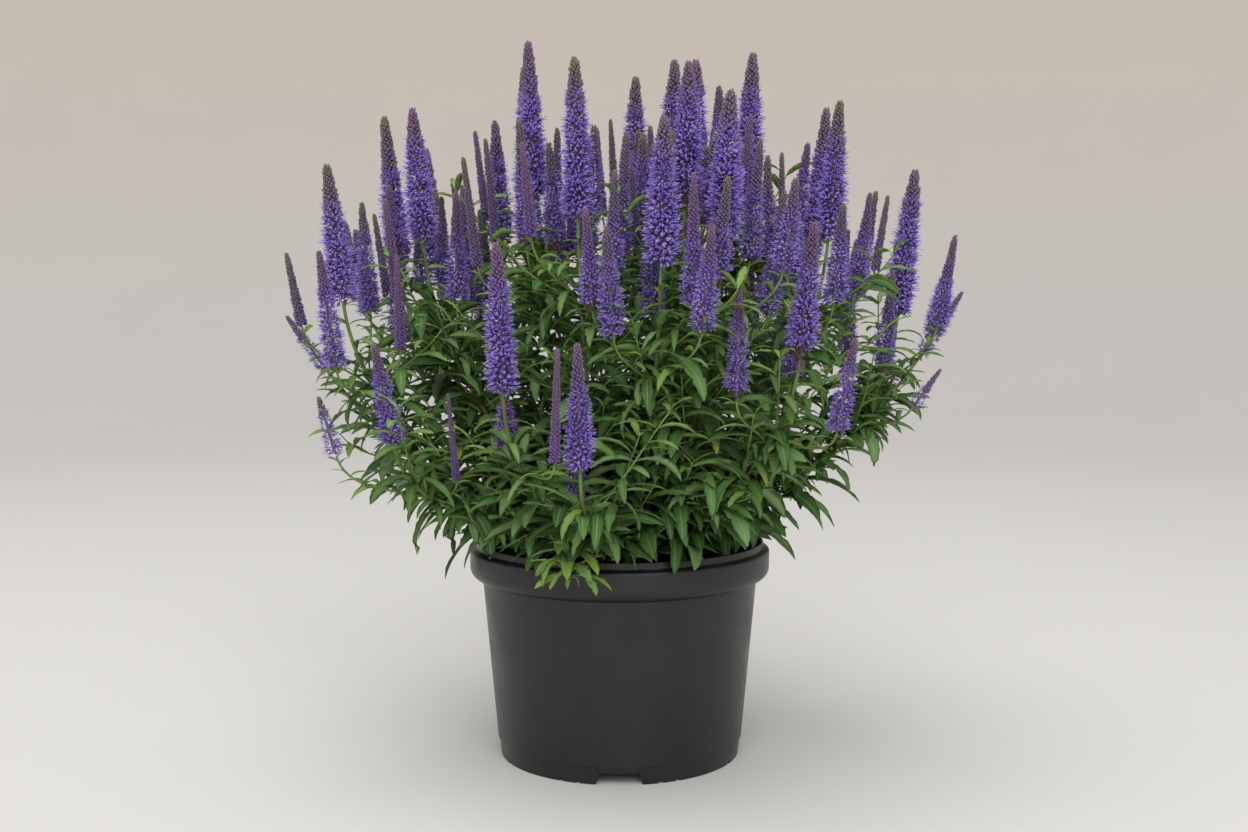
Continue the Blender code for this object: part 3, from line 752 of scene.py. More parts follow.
TERMINAL_FAN = Fan(sides=6, share=0.92, size=0.40)
SIDE_FAN = Fan(sides=5, share=0.86, size=0.50)
RING_EVENNESS = 0.02  # a ring's points are this evenly far from the tip, as a share
END_CORNERS = 4  # a cut end has at least this many corners
JOIN_GAP = 0.0012  # a stem's end and its head's start are nearer than this
END_SIZE = 0.0048  # the corners of a stem's cut end lie within this of each other
FOOT_BAND = 0.012  # stems leave the compost within this of its lowest level
ROOM = corners(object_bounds())  # the CAD's box


def welded(node: str) -> Shape:
    """A CAD node's surface with its doubles merged.

    Args:
        node: The node's name.

    Returns:
        Its points and triangles.
    """
    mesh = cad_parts[node].data
    points = np.empty(len(mesh.vertices) * 3, np.float32)
    mesh.vertices.foreach_get("co", points)
    corners = np.empty(len(mesh.loops), np.int32)
    mesh.loops.foreach_get("vertex_index", corners)
    points = points.reshape(-1, 3).astype(float)
    _, first, same = np.unique(np.round(points, 6), axis=0, return_index=True, return_inverse=True)
    return points[first], same.ravel()[corners].reshape(-1, 3)


def spikes_in(node: str) -> list[Spike]:
    """The spikes of a flower head's solid, the terminal one first.

    A spike's tip is a point above all its neighbours, and they are the ring next to it: its
    centre is at a known share of the length, so the foot lies on the line through both.

    Args:
        node: The node's name.

    Returns:
        The spikes.
    """
    points, triangles = welded(node)
    found = []
    for tip in np.unique(triangles):
        ring = np.unique(triangles[(triangles == tip).any(axis=1)])
        ring = ring[ring != tip]
        if (points[ring, 2] >= points[tip, 2]).any():
            continue
        for fan in (TERMINAL_FAN, SIDE_FAN):
            centre = points[ring].mean(axis=0)
            reach = np.linalg.norm(points[ring] - points[tip], axis=1)
            if len(ring) == fan.sides and np.ptp(reach) < RING_EVENNESS * reach.mean():
                length = np.linalg.norm(points[tip] - centre) / (1.0 - fan.share)
                foot = points[tip] - length * unit(points[tip] - centre)
                radius = np.linalg.norm(points[ring] - centre, axis=1).mean() / fan.size
                found.append(Spike(foot, points[tip], float(radius), fan is TERMINAL_FAN))
    return sorted(found, key=lambda spike: not spike.terminal)


def cut_ends(node: str) -> Array:
    """Places on a stem's solid where corners lie close together, as at its cut ends.

    Args:
        node: The node's name.

    Returns:
        (n, 3) centres of the places.
    """
    points, _ = welded(node)
    near = np.linalg.norm(points[:, None] - points[None], axis=2) < END_SIZE
    groups = near[near.sum(axis=1) >= END_CORNERS]
    return np.array([points[group].mean(axis=0) for group in groups])


def stem_foot(node: str) -> Array:
    """Where a stem leaves the compost.

    Args:
        node: The stem's name.

    Returns:
        The point.
    """
    ends = cut_ends(node)
    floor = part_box("compost")[1].z - FOOT_BAND
    low = ends[(ends[:, 2] > floor) & (ends[:, 2] < floor + 2.0 * FOOT_BAND)]
    inner = low[np.argsort(np.hypot(low[:, 0], low[:, 1]))]
    return inner[np.argmin(inner[:, 2])]


def in_room(points: Array, margin: float) -> Array:
    """Whether points are inside the CAD's box grown by a margin.

    Args:
        points: (..., 3) points.
        margin: Distance added on every side.

    Returns:
        (...) truth values.
    """
    low, high = (np.array(corner) for corner in ROOM)
    return ((points > low - margin) & (points < high + margin)).all(axis=-1)


def junction(stem: str, head: str) -> Array:
    """Where a leafy stem's solid meets its flower head's.

    Args:
        stem: The stem's name.
        head: The flower head's name.

    Returns:
        The point.
    """
    low, high = welded(stem)[0], welded(head)[0]
    near = np.linalg.norm(high[:, None] - low[None], axis=2).min(axis=1) < JOIN_GAP
    return high[near].mean(axis=0)


# ------------------------------------------------------------------------- pot and compost


@dataclass
class NurseryPot:
    """The pot: one moulded shell with a bead and a collar at its rim and a skirt at its foot."""

    height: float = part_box("pot")[1].z
    collar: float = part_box("pot")[1].x
    bead_height: float = 0.0048
    bead_radius: float = 0.1102
    collar_depth: float = 0.0232
    collar_slope: float = 0.0085
    body_top: float = 0.1055
    body_low: float = 0.0943
    foot_radius: float = 0.0919
    foot_height: float = 0.0134
    foot_step: float = 0.0009
    wall: float = 0.0018
    skirt: float = 0.0022
    rest_radius: float = 0.066
    channel: float = 0.0105
    notch_count: int = 4
    notch_foot: float = 0.0345
    notch_top: float = 0.0290
    notch_height: float = 0.0085
    nick_width: float = 0.0034
    nick_height: float = 0.0022
    nick_azimuths_deg: tuple[float, ...] = (19.0, 27.5)
    drain_count: int = 8
    drain_radius: float = 0.0040
    lip_round: float = 0.0008
    edge_round: float = 0.0018
    groove_round: float = 0.0005
    shoulder_fall: float = 0.0012  # from the groove out to the collar's edge
    curve_out: float = 0.62  # middle of the curve under the collar, as a share of its flare
    curve_up: float = 0.30  # and as a share of its height
    foot_bevel: tuple[float, float] = (0.0004, 0.0016)  # across and up
    room: float = 0.0008  # least space between a leaf and the pot
    columns: int = 320

    def outline(self) -> Array:
        """The outline that is turned about the axis; its rounded corners are arcs.

        Returns:
            (radius, height) points from the axis inside, over the rim and down to the skirt's inside.
        """
        shoulder = self.height - self.bead_height
        under = shoulder - self.collar_depth
        slope_top = under + self.collar_slope
        flare = self.collar - self.body_top
        inner = self.bead_radius - self.wall
        lip, edge, groove = self.lip_round, self.edge_round, self.groove_round
        inside = [
            (self.rest_radius - self.wall, self.wall),
            (self.rest_radius - self.wall, self.channel + self.wall),
            (self.low_radius() - self.wall, self.channel + self.wall),
            (self.body_top - self.wall, under),
            (self.body_top + self.curve_out * flare - self.wall, under + self.curve_up * self.collar_slope),
            (self.collar - self.wall, slope_top),
            (self.collar - self.wall, shoulder - self.wall),
            (inner, shoulder - 0.4 * self.wall),
        ]
        rim = [
            *arc((inner + lip, self.height - lip), lip, 180.0, 90.0),
            *arc((self.bead_radius - lip, self.height - lip), lip, 90.0, 0.0),
            *arc((self.bead_radius + groove, shoulder + groove - 0.0002), groove, 180.0, 270.0),
            *arc((self.collar - edge, shoulder - self.shoulder_fall - edge), edge, 72.0, 0.0),
        ]
        turn = np.radians(np.linspace(0.0, -78.0, 10))
        sweep_radii = self.body_top + flare * np.cos(turn) ** 0.85
        sweep = zip(sweep_radii, slope_top + self.collar_slope * np.sin(turn), strict=True)
        body_heights = np.linspace(under - 0.0012, self.foot_height, 26)
        body = [(self.body_radius(height), height) for height in body_heights]
        foot = [
            (self.body_low - self.foot_step, self.foot_height - self.foot_step),
            (self.foot_radius + self.foot_bevel[0], self.foot_bevel[1]),
            (self.foot_radius, 0.0),
            (self.foot_radius - self.skirt, 0.0),
            (self.foot_radius - self.skirt, self.channel),
            (self.rest_radius, self.channel),
            (self.rest_radius, 0.0),
        ]
        return np.array([*inside, *rim, *sweep, *body, *foot])

    def body_radius(self, height: float | Array) -> float | Array:
        """Outside radius of the tapered body, which grows evenly with height.

        Args:
            height: Height above the floor.

        Returns:
            The radius there.
        """
        top = self.height - self.bead_height - self.collar_depth
        share = (height - self.foot_height) / (top - self.foot_height)
        return self.body_low + share * (self.body_top - self.body_low)

    def low_radius(self) -> float:
        """Outside radius of the body just above the channel."""
        return self.body_low - self.foot_step - 0.0003

    def azimuths(self) -> Array:
        """Azimuths of the columns: even ones, and one at each corner of each notch and nick.

        Returns:
            The azimuths, in order. An even one that a corner is too near to is left out.
        """
        corners = []
        for centre in self.notch_azimuths():
            for width in (self.notch_foot, self.notch_top):
                half = 0.5 * width / self.foot_radius
                corners += [centre - half, centre + half]
            for place in self.nick_places(centre):
                for width in (1.0, 0.55):
                    half = 0.5 * width * self.nick_width / self.foot_radius
                    corners += [place - half, place + half]
        even = np.linspace(-math.pi, math.pi, self.columns, endpoint=False)
        corners = (np.array(corners) + math.pi) % (2 * math.pi) - math.pi
        gap = 0.6 * math.pi / self.columns
        clear = np.abs(even[:, None] - corners[None]).min(axis=1) > gap
        return np.sort(np.concatenate([even[clear], corners]))

    def notch_azimuths(self) -> Array:
        """Azimuths of the notches' middles, the first at the front."""
        return -0.5 * math.pi + 2 * math.pi * np.arange(self.notch_count) / self.notch_count

    def nick_places(self, centre: float) -> list[float]:
        """Azimuths of the nicks on both sides of a notch."""
        offsets = [math.radians(angle) for angle in self.nick_azimuths_deg]
        return [centre + side * offset for side in (-1, 1) for offset in offsets]

    def lift(self, azimuth: Array) -> Array:
        """Height of the skirt's lower edge: 0, but for a trapezium at each notch and nick.

        Args:
            azimuth: Azimuths.

        Returns:
            The height at each.
        """
        notch = (self.notch_foot, 0.5 * (self.notch_foot - self.notch_top), self.notch_height)
        nick = (self.nick_width, 0.225 * self.nick_width, self.nick_height)
        cuts = []
        for centre in self.notch_azimuths():
            cuts += [(centre, *notch), *((place, *nick) for place in self.nick_places(centre))]
        height = np.zeros_like(azimuth)
        for place, width, run, top in cuts:
            off = self.foot_radius * np.abs((azimuth - place + math.pi) % (2 * math.pi) - math.pi)
            height = np.maximum(height, top * np.clip((0.5 * width - off) / run, 0.0, 1.0))
        return height

    def build(self) -> bpy.types.Object:
        """Turns the outline about the axis, lifts the skirt's edge and bores the drains.

        Returns:
            The pot.
        """
        outline, azimuth = self.outline(), self.azimuths()
        radius, height = outline[:, 0, None], outline[:, 1, None]
        low = np.minimum(0.5 * self.foot_height, self.channel - self.wall)
        skirt = (radius > self.rest_radius + self.wall) & (height < low)
        z = np.where(skirt, np.maximum(height, self.lift(azimuth)[None]), height)
        points = np.stack([radius * np.cos(azimuth), radius * np.sin(azimuth), z + 0.0 * azimuth], axis=-1)
        rings, sides = points.shape[:2]
        poles = np.array([[0.0, 0.0, self.wall], [0.0, 0.0, 0.0]])
        batch = Batch(("tint",))
        triangles = skin_triangles(rings, sides)[:, ::-1]
        batch.add(np.vstack([points.reshape(-1, 3), poles]), triangles)
        pot = batch.piece("nursery_pot", sharp_deg=38.0)
        self.bore(pot)
        return pot

    def bore(self, pot: bpy.types.Object) -> None:
        """Cuts the drain holes through the channel's ceiling.

        Args:
            pot: The undrilled pot.
        """
        middle = 0.5 * (self.rest_radius + self.foot_radius - self.skirt)
        level = self.channel + 0.5 * self.wall
        shapes = []
        for azimuth in turns(self.drain_count) + math.pi / self.drain_count - 0.5 * math.pi:
            centre = middle * heading(azimuth) + level * UP
            rings = ((0.0, self.drain_radius), (1.0, self.drain_radius))
            shapes.append(spindle(centre - self.wall * UP, centre + self.wall * UP, rings, 28))
        batch = Batch(())
        batch.add(*merged(shapes))
        drill = batch.piece("drains")
        boolean = pot.modifiers.new("Drains", "BOOLEAN")
        boolean.operation = "DIFFERENCE"
        boolean.solver = "EXACT"
        boolean.object = drill
        graph = bpy.context.evaluated_depsgraph_get()
        drilled = bpy.data.meshes.new_from_object(pot.evaluated_get(graph))
        pot.modifiers.clear()
        pot.data = drilled
        drilled.name = "nursery_pot"
        bpy.data.objects.remove(drill, do_unlink=True)

    def fouls(self, points: Array) -> Array:
        """Whether points are inside the pot's wall or rim, or under the compost.

        Args:
            points: (..., 3) points.

        Returns:
            (...) truth values.
        """
        radius, z = np.hypot(points[..., 0], points[..., 1]), points[..., 2]
        under = self.height - self.bead_height - self.collar_depth
        room = self.room
        below_rim = z < self.height + room
        outer = np.where(z > under, self.collar, self.body_radius(np.clip(z, 0.0, under))) + room
        headspace = (radius < self.bead_radius - self.wall - room) & (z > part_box("compost")[1].z + room)
        return below_rim & (radius < outer) & ~headspace


@dataclass
class CompostBed:
    """The compost and root ball: a heaped, crumbly top on a plug that fills the pot."""

    pot: NurseryPot
    gap: float = 0.0003
    crown: float = 0.0035
    rings: int = 64
    sides: int = 200
    crumbs: int = 900
    crumb_size: Pair = (0.0007, 0.0030)
    crumb_margin: float = 0.004  # no crumb lies nearer to the wall
    bark_share: float = 0.28
    sunk: float = 0.0012  # the middle height of the top, below its highest

    def surface(self, x: Array, y: Array) -> Array:
        """Height of the top: a low heap, plus waves of three lengths at odd angles.

        Args:
            x: Distances along X.
            y: Distances along Y.

        Returns:
            The height at each place.
        """
        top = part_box("compost")[1].z - self.crown
        edge = self.pot.collar - self.pot.wall
        heap = self.crown * np.clip(1.0 - np.hypot(x, y) / (0.75 * edge), 0.0, 1.0)
        waves = 0.0009 * np.sin(71.0 * x + 13.0 * np.sin(47.0 * y))
        waves = waves * np.cos(83.0 * y + 9.0 * np.sin(61.0 * x))
        ripples = 0.0006 * np.sin(260.0 * x + 4.0 * np.sin(190.0 * y)) * np.sin(233.0 * y + 1.3)
        grit = 0.0004 * np.sin(711.0 * x + 3.0 * np.sin(503.0 * y)) * np.sin(677.0 * y + 2.1)
        return top + heap + waves + ripples + grit - self.sunk

    def build(self, random: Random) -> bpy.types.Object:
        """Makes the closed plug, whose sides follow the pot's inside, and strews crumbs on it.

        Args:
            random: Source of the crumbs' differences.

        Returns:
            The compost.
        """
        pot, gap = self.pot, self.gap
        azimuth = turns(self.sides)
        floor = pot.channel + pot.wall + gap
        step = pot.rest_radius - pot.wall - gap
        under = pot.height - pot.bead_height - pot.collar_depth
        curve = pot.body_top + pot.curve_out * (pot.collar - pot.body_top)
        lower = np.array([
            (step, pot.wall + gap),
            (step, floor),
            (pot.low_radius() - pot.wall - gap, floor),
            (pot.body_top - pot.wall - gap, under + gap),
            (curve - pot.wall - gap, under + pot.curve_up * pot.collar_slope + 2.0 * gap),
            (pot.collar - pot.wall - 2.0 * gap, under + pot.collar_slope + gap),
        ])
        sides = lower[:, None, :1] * heading(azimuth) + lower[:, None, 1:] * UP
        radii = np.linspace(pot.collar - pot.wall - 2.0 * gap, 0.0012, self.rings)[:, None]
        x, y = radii * np.cos(azimuth), radii * np.sin(azimuth)
        top = np.stack([x, y, self.surface(x, y)], axis=-1)
        points = np.concatenate([sides, top]).reshape(-1, 3)
        poles = np.array([[0.0, 0.0, pot.wall + gap], [0.0, 0.0, float(self.surface(0.0, 0.0))]])
        batch = Batch(("tint",))
        batch.add(np.vstack([points, poles]), skin_triangles(len(lower) + self.rings, self.sides))
        self.strew(batch, random)
        return batch.piece("compost_bed", sharp_deg=55.0)

    def strew(self, batch: Batch, random: Random) -> None:
        """Adds crumbs and bits of bark: short spindles that lie on the surface at random.

        Args:
            batch: Where they go.
            random: Source of their differences.
        """
        shape = spindle(np.array([-1.0, 0, 0]), np.array([1.0, 0, 0]), ((0.22, 0.62), (0.70, 0.74)), 5)
        count = self.crumbs
        radius = self.pot.bead_radius - self.pot.wall - self.crumb_margin
        radius = radius * np.sqrt(random.uniform(0.0, 1.0, count))
        azimuth = random.uniform(0.0, 2 * math.pi, count)
        fine, coarse = self.crumb_size
        size = fine + (coarse - fine) * random.uniform(0, 1, count) ** 2.5
        x, y = radius * np.cos(azimuth), radius * np.sin(azimuth)
        origins = np.stack([x, y, self.surface(x, y) + 0.2 * size], axis=-1)
        turn, tip = random.uniform(0.0, 2 * math.pi, count), random.normal(0.0, 0.25, count)
        along = unit(heading(turn) + tip[:, None] * UP)
        across = unit(np.cross(np.broadcast_to(UP, along.shape), along))
        through = np.cross(along, across)
        stretch = random.uniform(0.7, 2.4, count)
        flat = random.uniform(0.35, 0.8, count)
        axes = np.stack([along, across, through], axis=1)
        axes = axes * np.stack([size * stretch, size, size * flat], axis=1)[..., None]
        tint = (random.uniform(0, 1, count) > 1.0 - self.bark_share) * random.uniform(0.2, 1.0, count)
        batch.add_copies(shape, origins, axes, tint=tint[:, None])


# ------------------------------------------------------------------------------------- leaves


LEAF_VALUES = ("along", "across", "tint", "age", "part", "scorch")


class Surface(Enum):
    """What a point of the foliage is on; the finish reads the number."""

    UPPER = 0.0
    LOWER = 1.0
    STALK = 2.0


@dataclass
class LeafSet:
    """Leaves as parallel arrays: where each grows, where it points and how it bends."""

    foot: Array
    azimuth: Array
    length: Array
    width: Array
    raised: Array
    drooped: Array
    age: Array

    def joined(self, other: "LeafSet") -> "LeafSet":
        """Both sets as one."""
        both = zip(vars(self).values(), vars(other).values(), strict=True)
        return LeafSet(*(np.concatenate(values) for values in both))

    def kept(self, which: Array) -> "LeafSet":
        """The leaves picked by a truth value each."""
        return LeafSet(*(value[which] for value in vars(self).values()))


@dataclass(frozen=True)
class Blade:
    """The form of a leaf: a lance shape, folded up a little along its groove, with a toothed edge."""

    rings: int = 12
    foot_power: float = 0.80
    head_power: float = 0.78
    fold: float = 0.24
    puff: float = 0.05
    keel: float = 0.11
    tooth: float = 0.065
    wave: float = 0.10

    def shares(self) -> Array:
        """Shares along the leaf of its rings."""
        return np.linspace(0.03, 0.965, self.rings)

    def half_widths(self) -> Array:
        """Half width at each ring: t^a (1-t)^b scaled to 1, with every other ring a tooth.

        Returns:
            The half widths, as shares of the leaf's own.
        """
        t = self.shares()
        peak = self.foot_power / (self.foot_power + self.head_power)
        full = peak**self.foot_power * (1 - peak) ** self.head_power
        teeth = 1.0 + self.tooth * (-1.0) ** np.arange(self.rings)
        return t**self.foot_power * (1 - t) ** self.head_power / full * teeth

    def midribs(self, leaves: LeafSet, bend: Array) -> tuple[Array, Array, Array]:
        """Lines of the midribs.

        Args:
            leaves: The leaves.
            bend: (k,) turn of the heading from foot to tip.

        Returns:
            (k, rings + 2, 3) points from foot to tip, and directions and sides at the rings. The
            slope falls evenly from raised to raised - drooped, and the line is its running sum.
        """
        t = np.concatenate([[0.0], self.shares(), [1.0]])
        middle = 0.5 * (t[1:] + t[:-1])
        slope = leaves.raised[:, None] - leaves.drooped[:, None] * middle
        way = leaves.azimuth[:, None] + bend[:, None] * middle
        steps = np.cos(slope)[..., None] * heading(way) + np.sin(slope)[..., None] * UP
        steps = steps * (leaves.length[:, None] * np.diff(t))[..., None]
        run = np.concatenate([np.zeros_like(steps[:, :1]), np.cumsum(steps, axis=1)], axis=1)
        line = leaves.foot[:, None] + run
        along = unit(line[:, 2:] - line[:, :-2])
        side = unit(np.cross(np.broadcast_to(UP, along.shape), along) + 1e-9)
        return line, along, side

    def grow(self, batch: Batch, leaves: LeafSet, random: Random, scorched: float = 0.0) -> None:
        """Adds leaves to a batch.

        Each ring has two points on the upper side, one in the groove, one on each edge and one
        on the keel below; the edges wave up and down along the leaf.

        Args:
            batch: Where they go.
            leaves: The leaves.
            random: Source of their small differences.
            scorched: Share of leaves whose tips have yellowed.
        """
        count = len(leaves.azimuth)
        if not count:
            return
        bend, roll = random.normal(0.0, 0.30, count), random.normal(0.0, 0.30, count)
        twist, phase = random.normal(0.0, 0.35, count), random.uniform(0.0, 2 * math.pi, count)
        line, along, side = self.midribs(leaves, bend)
        t = self.shares()
        turn = (roll[:, None] + twist[:, None] * t)[..., None]
        level, up = side, np.cross(along, side)
        side = np.cos(turn) * level + np.sin(turn) * up
        normal = np.cos(turn) * up - np.sin(turn) * level
        half = 0.5 * leaves.width[:, None] * self.half_widths()
        ripple = self.wave * np.sin(6 * math.pi * t + phase[:, None])
        fold = self.fold * random.uniform(0.5, 1.6, count)[:, None]
        across = np.array([1.0, 0.5, 0.0, -0.5, -1.0, 0.0])
        lifts = [fold + ripple, 0.5 * fold + self.puff, 0.0 * fold, 0.5 * fold + self.puff, fold - ripple]
        lifts = np.stack([*[lift + 0.0 * t for lift in lifts], -self.keel + 0.0 * (fold + t)], axis=-1)
        loops = line[:, 1:-1, None] + (half[..., None] * across)[..., None] * side[:, :, None]
        loops = loops + (half[..., None] * lifts)[..., None] * normal[:, :, None]
        points = np.concatenate([loops.reshape(count, -1, 3), line[:, :1], line[:, -1:]], axis=1)
        sides = len(across)
        part = np.full((self.rings, sides), Surface.UPPER.value)
        part[:, -1] = Surface.LOWER.value
        ends = np.array([0.0, 1.0])
        values = {
            "along": np.concatenate([np.repeat(t, sides), ends]),
            "across": np.concatenate([np.tile(across, self.rings), 0.0 * ends]),
            "part": np.concatenate([part.ravel(), 0.0 * ends]),
            "tint": random.uniform(0.0, 1.0, count)[:, None],
            "age": leaves.age[:, None],
            "scorch": (random.uniform(0.0, 1.0, count) < scorched)[:, None].astype(float),
        }
        batch.add_many(points, skin_triangles(self.rings, sides), **values)


BROAD_BLADE = Blade()
SMALL_BLADE = Blade(rings=8, tooth=0.0, foot_power=0.62)


def add_stalk(
    batch: Batch, path: Array, radii: Array, sides: int, age: float, **values: Array | float
) -> None:
    """Adds a closed round stem along a path.

    Args:
        batch: Where it goes.
        path: (n, 3) points.
        radii: (n,) radii.
        sides: Points round it.
        age: 0 for green, 1 for old and ruddy.
        values: Other values of the batch, for all its points.
    """
    along = unit(np.gradient(path, axis=0))
    across, through = square_to(along, STALK_HINT)
    turn = turns(sides)[None, :, None]
    circle = np.cos(turn) * across[:, None] + np.sin(turn) * through[:, None]
    loops = path[:, None] + radii[:, None, None] * circle
    points = np.vstack([loops.reshape(-1, 3), path[:1], path[-1:]])
    given = {"part": Surface.STALK.value, "age": age, "tint": 0.5, **values}
    batch.add(points, skin_triangles(len(path), sides), **given)


# -------------------------------------------------------------------------------------- stems


@dataclass(frozen=True)
class Row:
    """Leaves in pairs along a part of a stem or branch."""

    start: float  # share of the line at the lowest pair
    end: float  # share at the highest pair
    sizes: Pair  # leaf length at the start and at the end
    ages: Pair  # age at the start and at the end
    gap: float  # distance between pairs


@dataclass
class LeafyStem:
    """A stem from the compost to its tall spike, with its branches and all its leaves."""

    name: str
    pot: NurseryPot
    foot: Array
    meeting: Array
    spikes: list[Spike]
    reach: float = 0.36
    meeting_share: float = 0.6
    branch_rise: float = 0.050
    foot_radius: float = 0.0019
    head_radius: float = 0.0012
    branch_radius: float = 0.0008
    tip_radius: float = 0.0005
    joint_shares: Pair = (0.10, 0.80)  # a branch leaves the flower head's part of the stem between these
    leaf_slimness: float = 0.222
    shoot_count: int = 6
    shoot_length: Pair = (0.045, 0.105)
    shoot_shares: Pair = (0.14, 0.74)  # side shoots leave the stem between these
    shoot_margin: float = 0.030  # and end at least this far inside the room
    leaf_margin: float = 0.010  # a leaf may end this far outside it
    scorched: float = 0.04
    raise_deg: Pair = (6.0, 40.0)  # a leaf's angle at the lowest pair, and how much it gains
    droop_deg: Pair = (86.0, 30.0)  # how far it bends down there, and how much that loses
    tuft_shares: Pair = (0.10, 0.74)
    tuft_length: Pair = (0.014, 0.030)
    tuft_slimness: Pair = (0.20, 0.27)
    tuft_ages: Pair = (0.10, 0.65)
    pair_gap: float = 0.0122
    lower: Row = Row(0.05, 0.80, (0.065, 0.046), (1.0, 0.62), pair_gap)
    upper: Row = Row(0.82, 0.985, (0.034, 0.017), (0.5, 0.25), 0.010)
    on_branch: Row = Row(0.10, 0.93, (0.032, 0.014), (0.55, 0.2), 0.0095)
    on_shoot: Row = Row(0.12, 0.99, (0.046, 0.026), (0.8, 0.3), 0.0112)

    def line(self) -> Array:
        """The stem's centreline.

        A cubic curve from the compost to the tall spike's foot. It arrives along the spike, and
        its first handle is the one that takes it through the meeting of the stem's two solids.

        Returns:
            Its points.
        """
        end, arrive = self.spikes[0].foot, self.spikes[0].axis
        second = end - self.reach * np.linalg.norm(end - self.foot) * arrive
        t = self.meeting_share
        rest = (1 - t) ** 3 * self.foot + 3 * t**2 * (1 - t) * second + t**3 * end
        first = (self.meeting - rest) / (3 * t * (1 - t) ** 2)
        return cubic(self.foot - 0.002 * UP, first, second, end, 34)

    def branch(self, line: Array, spike: Spike) -> Array:
        """Centreline of a branch, from the stem to the foot of its spike.

        Args:
            line: The stem's centreline.
            spike: The branch's spike.

        Returns:
            Its points, on a cubic curve.
        """
        head = line[int(self.meeting_share * len(line)) :]
        share = np.interp(spike.foot[2] - self.branch_rise, head[:, 2], np.linspace(0.0, 1.0, len(head)))
        joints, ways = places_along(head, np.clip([share], *self.joint_shares))
        joint, along = joints[0], ways[0]
        span = self.reach * np.linalg.norm(spike.foot - joint)
        leave = unit(0.8 * along + unit(spike.foot - joint))
        return cubic(joint, joint + span * leave, spike.foot - span * spike.axis, spike.foot, 14)

    def paired(self, line: Array, row: Row, random: Random) -> LeafSet:
        """Leaves in pairs along a line, each pair square to the last.

        Args:
            line: The stem's or branch's centreline.
            row: Where on it the pairs are, and their sizes and ages.
            random: Source of their small differences.

        Returns:
            The leaves.
        """
        pairs = max(2, int((row.end - row.start) * path_length(line) / row.gap))
        share = np.repeat(np.linspace(row.start, row.end, pairs), 2)
        rank = np.linspace(0.0, 1.0, pairs).repeat(2)
        count = 2 * pairs
        foot, _ = places_along(line, np.clip(share + random.normal(0.0, 0.003, count), 0.0, 1.0))
        square = np.repeat(np.arange(pairs), 2) * 0.5 * math.pi + np.tile([0.0, math.pi], pairs)
        azimuth = random.uniform(0.0, 2 * math.pi) + square + random.normal(0.0, 0.22, count)
        size = row.sizes[0] + (row.sizes[1] - row.sizes[0]) * rank**1.2
        length = size * random.uniform(0.82, 1.12, count)
        (low, gain), (most, loss) = self.raise_deg, self.droop_deg
        raised = np.radians(low + gain * rank) + random.normal(0.0, 0.16, count)
        drooped = np.radians(most - loss * rank) * random.uniform(0.65, 1.25, count)
        width = length * self.leaf_slimness * random.uniform(0.85, 1.2, count) * (1.0 - 0.12 * rank)
        age = row.ages[0] + (row.ages[1] - row.ages[0]) * rank + random.normal(0.0, 0.07, count)
        return LeafSet(foot, azimuth, length, width, raised, drooped, age)

    def tufts(self, line: Array, random: Random) -> LeafSet:
        """Small leaves in the axils of the lower pairs, four to a pair.

        Args:
            line: The stem's centreline.
            random: Source of their differences.

        Returns:
            The leaves.
        """
        pairs = int(0.62 * path_length(line) / self.pair_gap)
        share = np.repeat(np.linspace(*self.tuft_shares, pairs), 4)
        count = len(share)
        foot, _ = places_along(line, share)
        azimuth = random.uniform(0.0, 2 * math.pi, count)
        out = random.uniform(0.002, 0.010, count)
        foot = foot + out[:, None] * heading(azimuth) + (0.4 * out)[:, None] * UP
        length = random.uniform(*self.tuft_length, count)
        width = length * random.uniform(*self.tuft_slimness, count)
        raised = random.uniform(0.5, 1.25, count)
        drooped = random.uniform(0.5, 1.2, count)
        age = random.uniform(*self.tuft_ages, count)
        return LeafSet(foot, azimuth, length, width, raised, drooped, age)

    def side_shoots(self, line: Array, random: Random) -> list[Array]:
        """Centrelines of the leafy side shoots in the stem's lower part.

        Each leaves the stem outwards and low and turns up to its tip. One that would pass through
        the pot or end too far out is left out.

        Args:
            line: The stem's centreline.
            random: Source of their differences.

        Returns:
            Each shoot's points, on a cubic curve.
        """
        outward = math.atan2(self.spikes[0].tip[1], self.spikes[0].tip[0])
        far = min(1.0, math.hypot(*self.spikes[0].tip[:2]) / 0.20)
        count = self.shoot_count
        shares = np.linspace(*self.shoot_shares, count) + random.normal(0.0, 0.02, count)
        joints, ways = places_along(line, shares)
        found = []
        for joint, way, share in zip(joints, ways, shares, strict=True):
            level = heading(np.array(outward + random.normal(0.0, 2.2 - 1.2 * far)))
            lift = random.uniform(0.15, 0.7) + 0.5 * share
            leave = unit(level + lift * UP + 0.3 * way)
            length = random.uniform(*self.shoot_length)
            tip = joint + length * unit(level + (lift + random.uniform(-0.25, 0.55)) * UP)
            arrive = unit(0.6 * level + 0.8 * UP)
            shoot = cubic(joint, joint + 0.35 * length * leave, tip - 0.35 * length * arrive, tip, 12)
            if not self.pot.fouls(shoot).any() and in_room(shoot[-4:], -self.shoot_margin).all():
                found.append(shoot)
        return found

    def clear(self, leaves: LeafSet, blade: Blade) -> LeafSet:
        """Leaves that would pass through the pot bend less, and those that still do are left out.

        Args:
            leaves: The leaves.
            blade: Their form.

        Returns:
            The leaves that are left.
        """
        still = np.zeros(len(leaves.azimuth))
        for _ in range(5):
            line, _, _ = blade.midribs(leaves, still)
            foul = self.pot.fouls(line[:, 2:]).any(axis=1)
            leaves.drooped = np.where(foul, 0.72 * leaves.drooped, leaves.drooped)
            leaves.raised = np.where(foul, leaves.raised + 0.10, leaves.raised)
        line, _, _ = blade.midribs(leaves, still)
        inside = in_room(line, self.leaf_margin).all(axis=1)
        return leaves.kept(inside & ~self.pot.fouls(line[:, 2:]).any(axis=1))

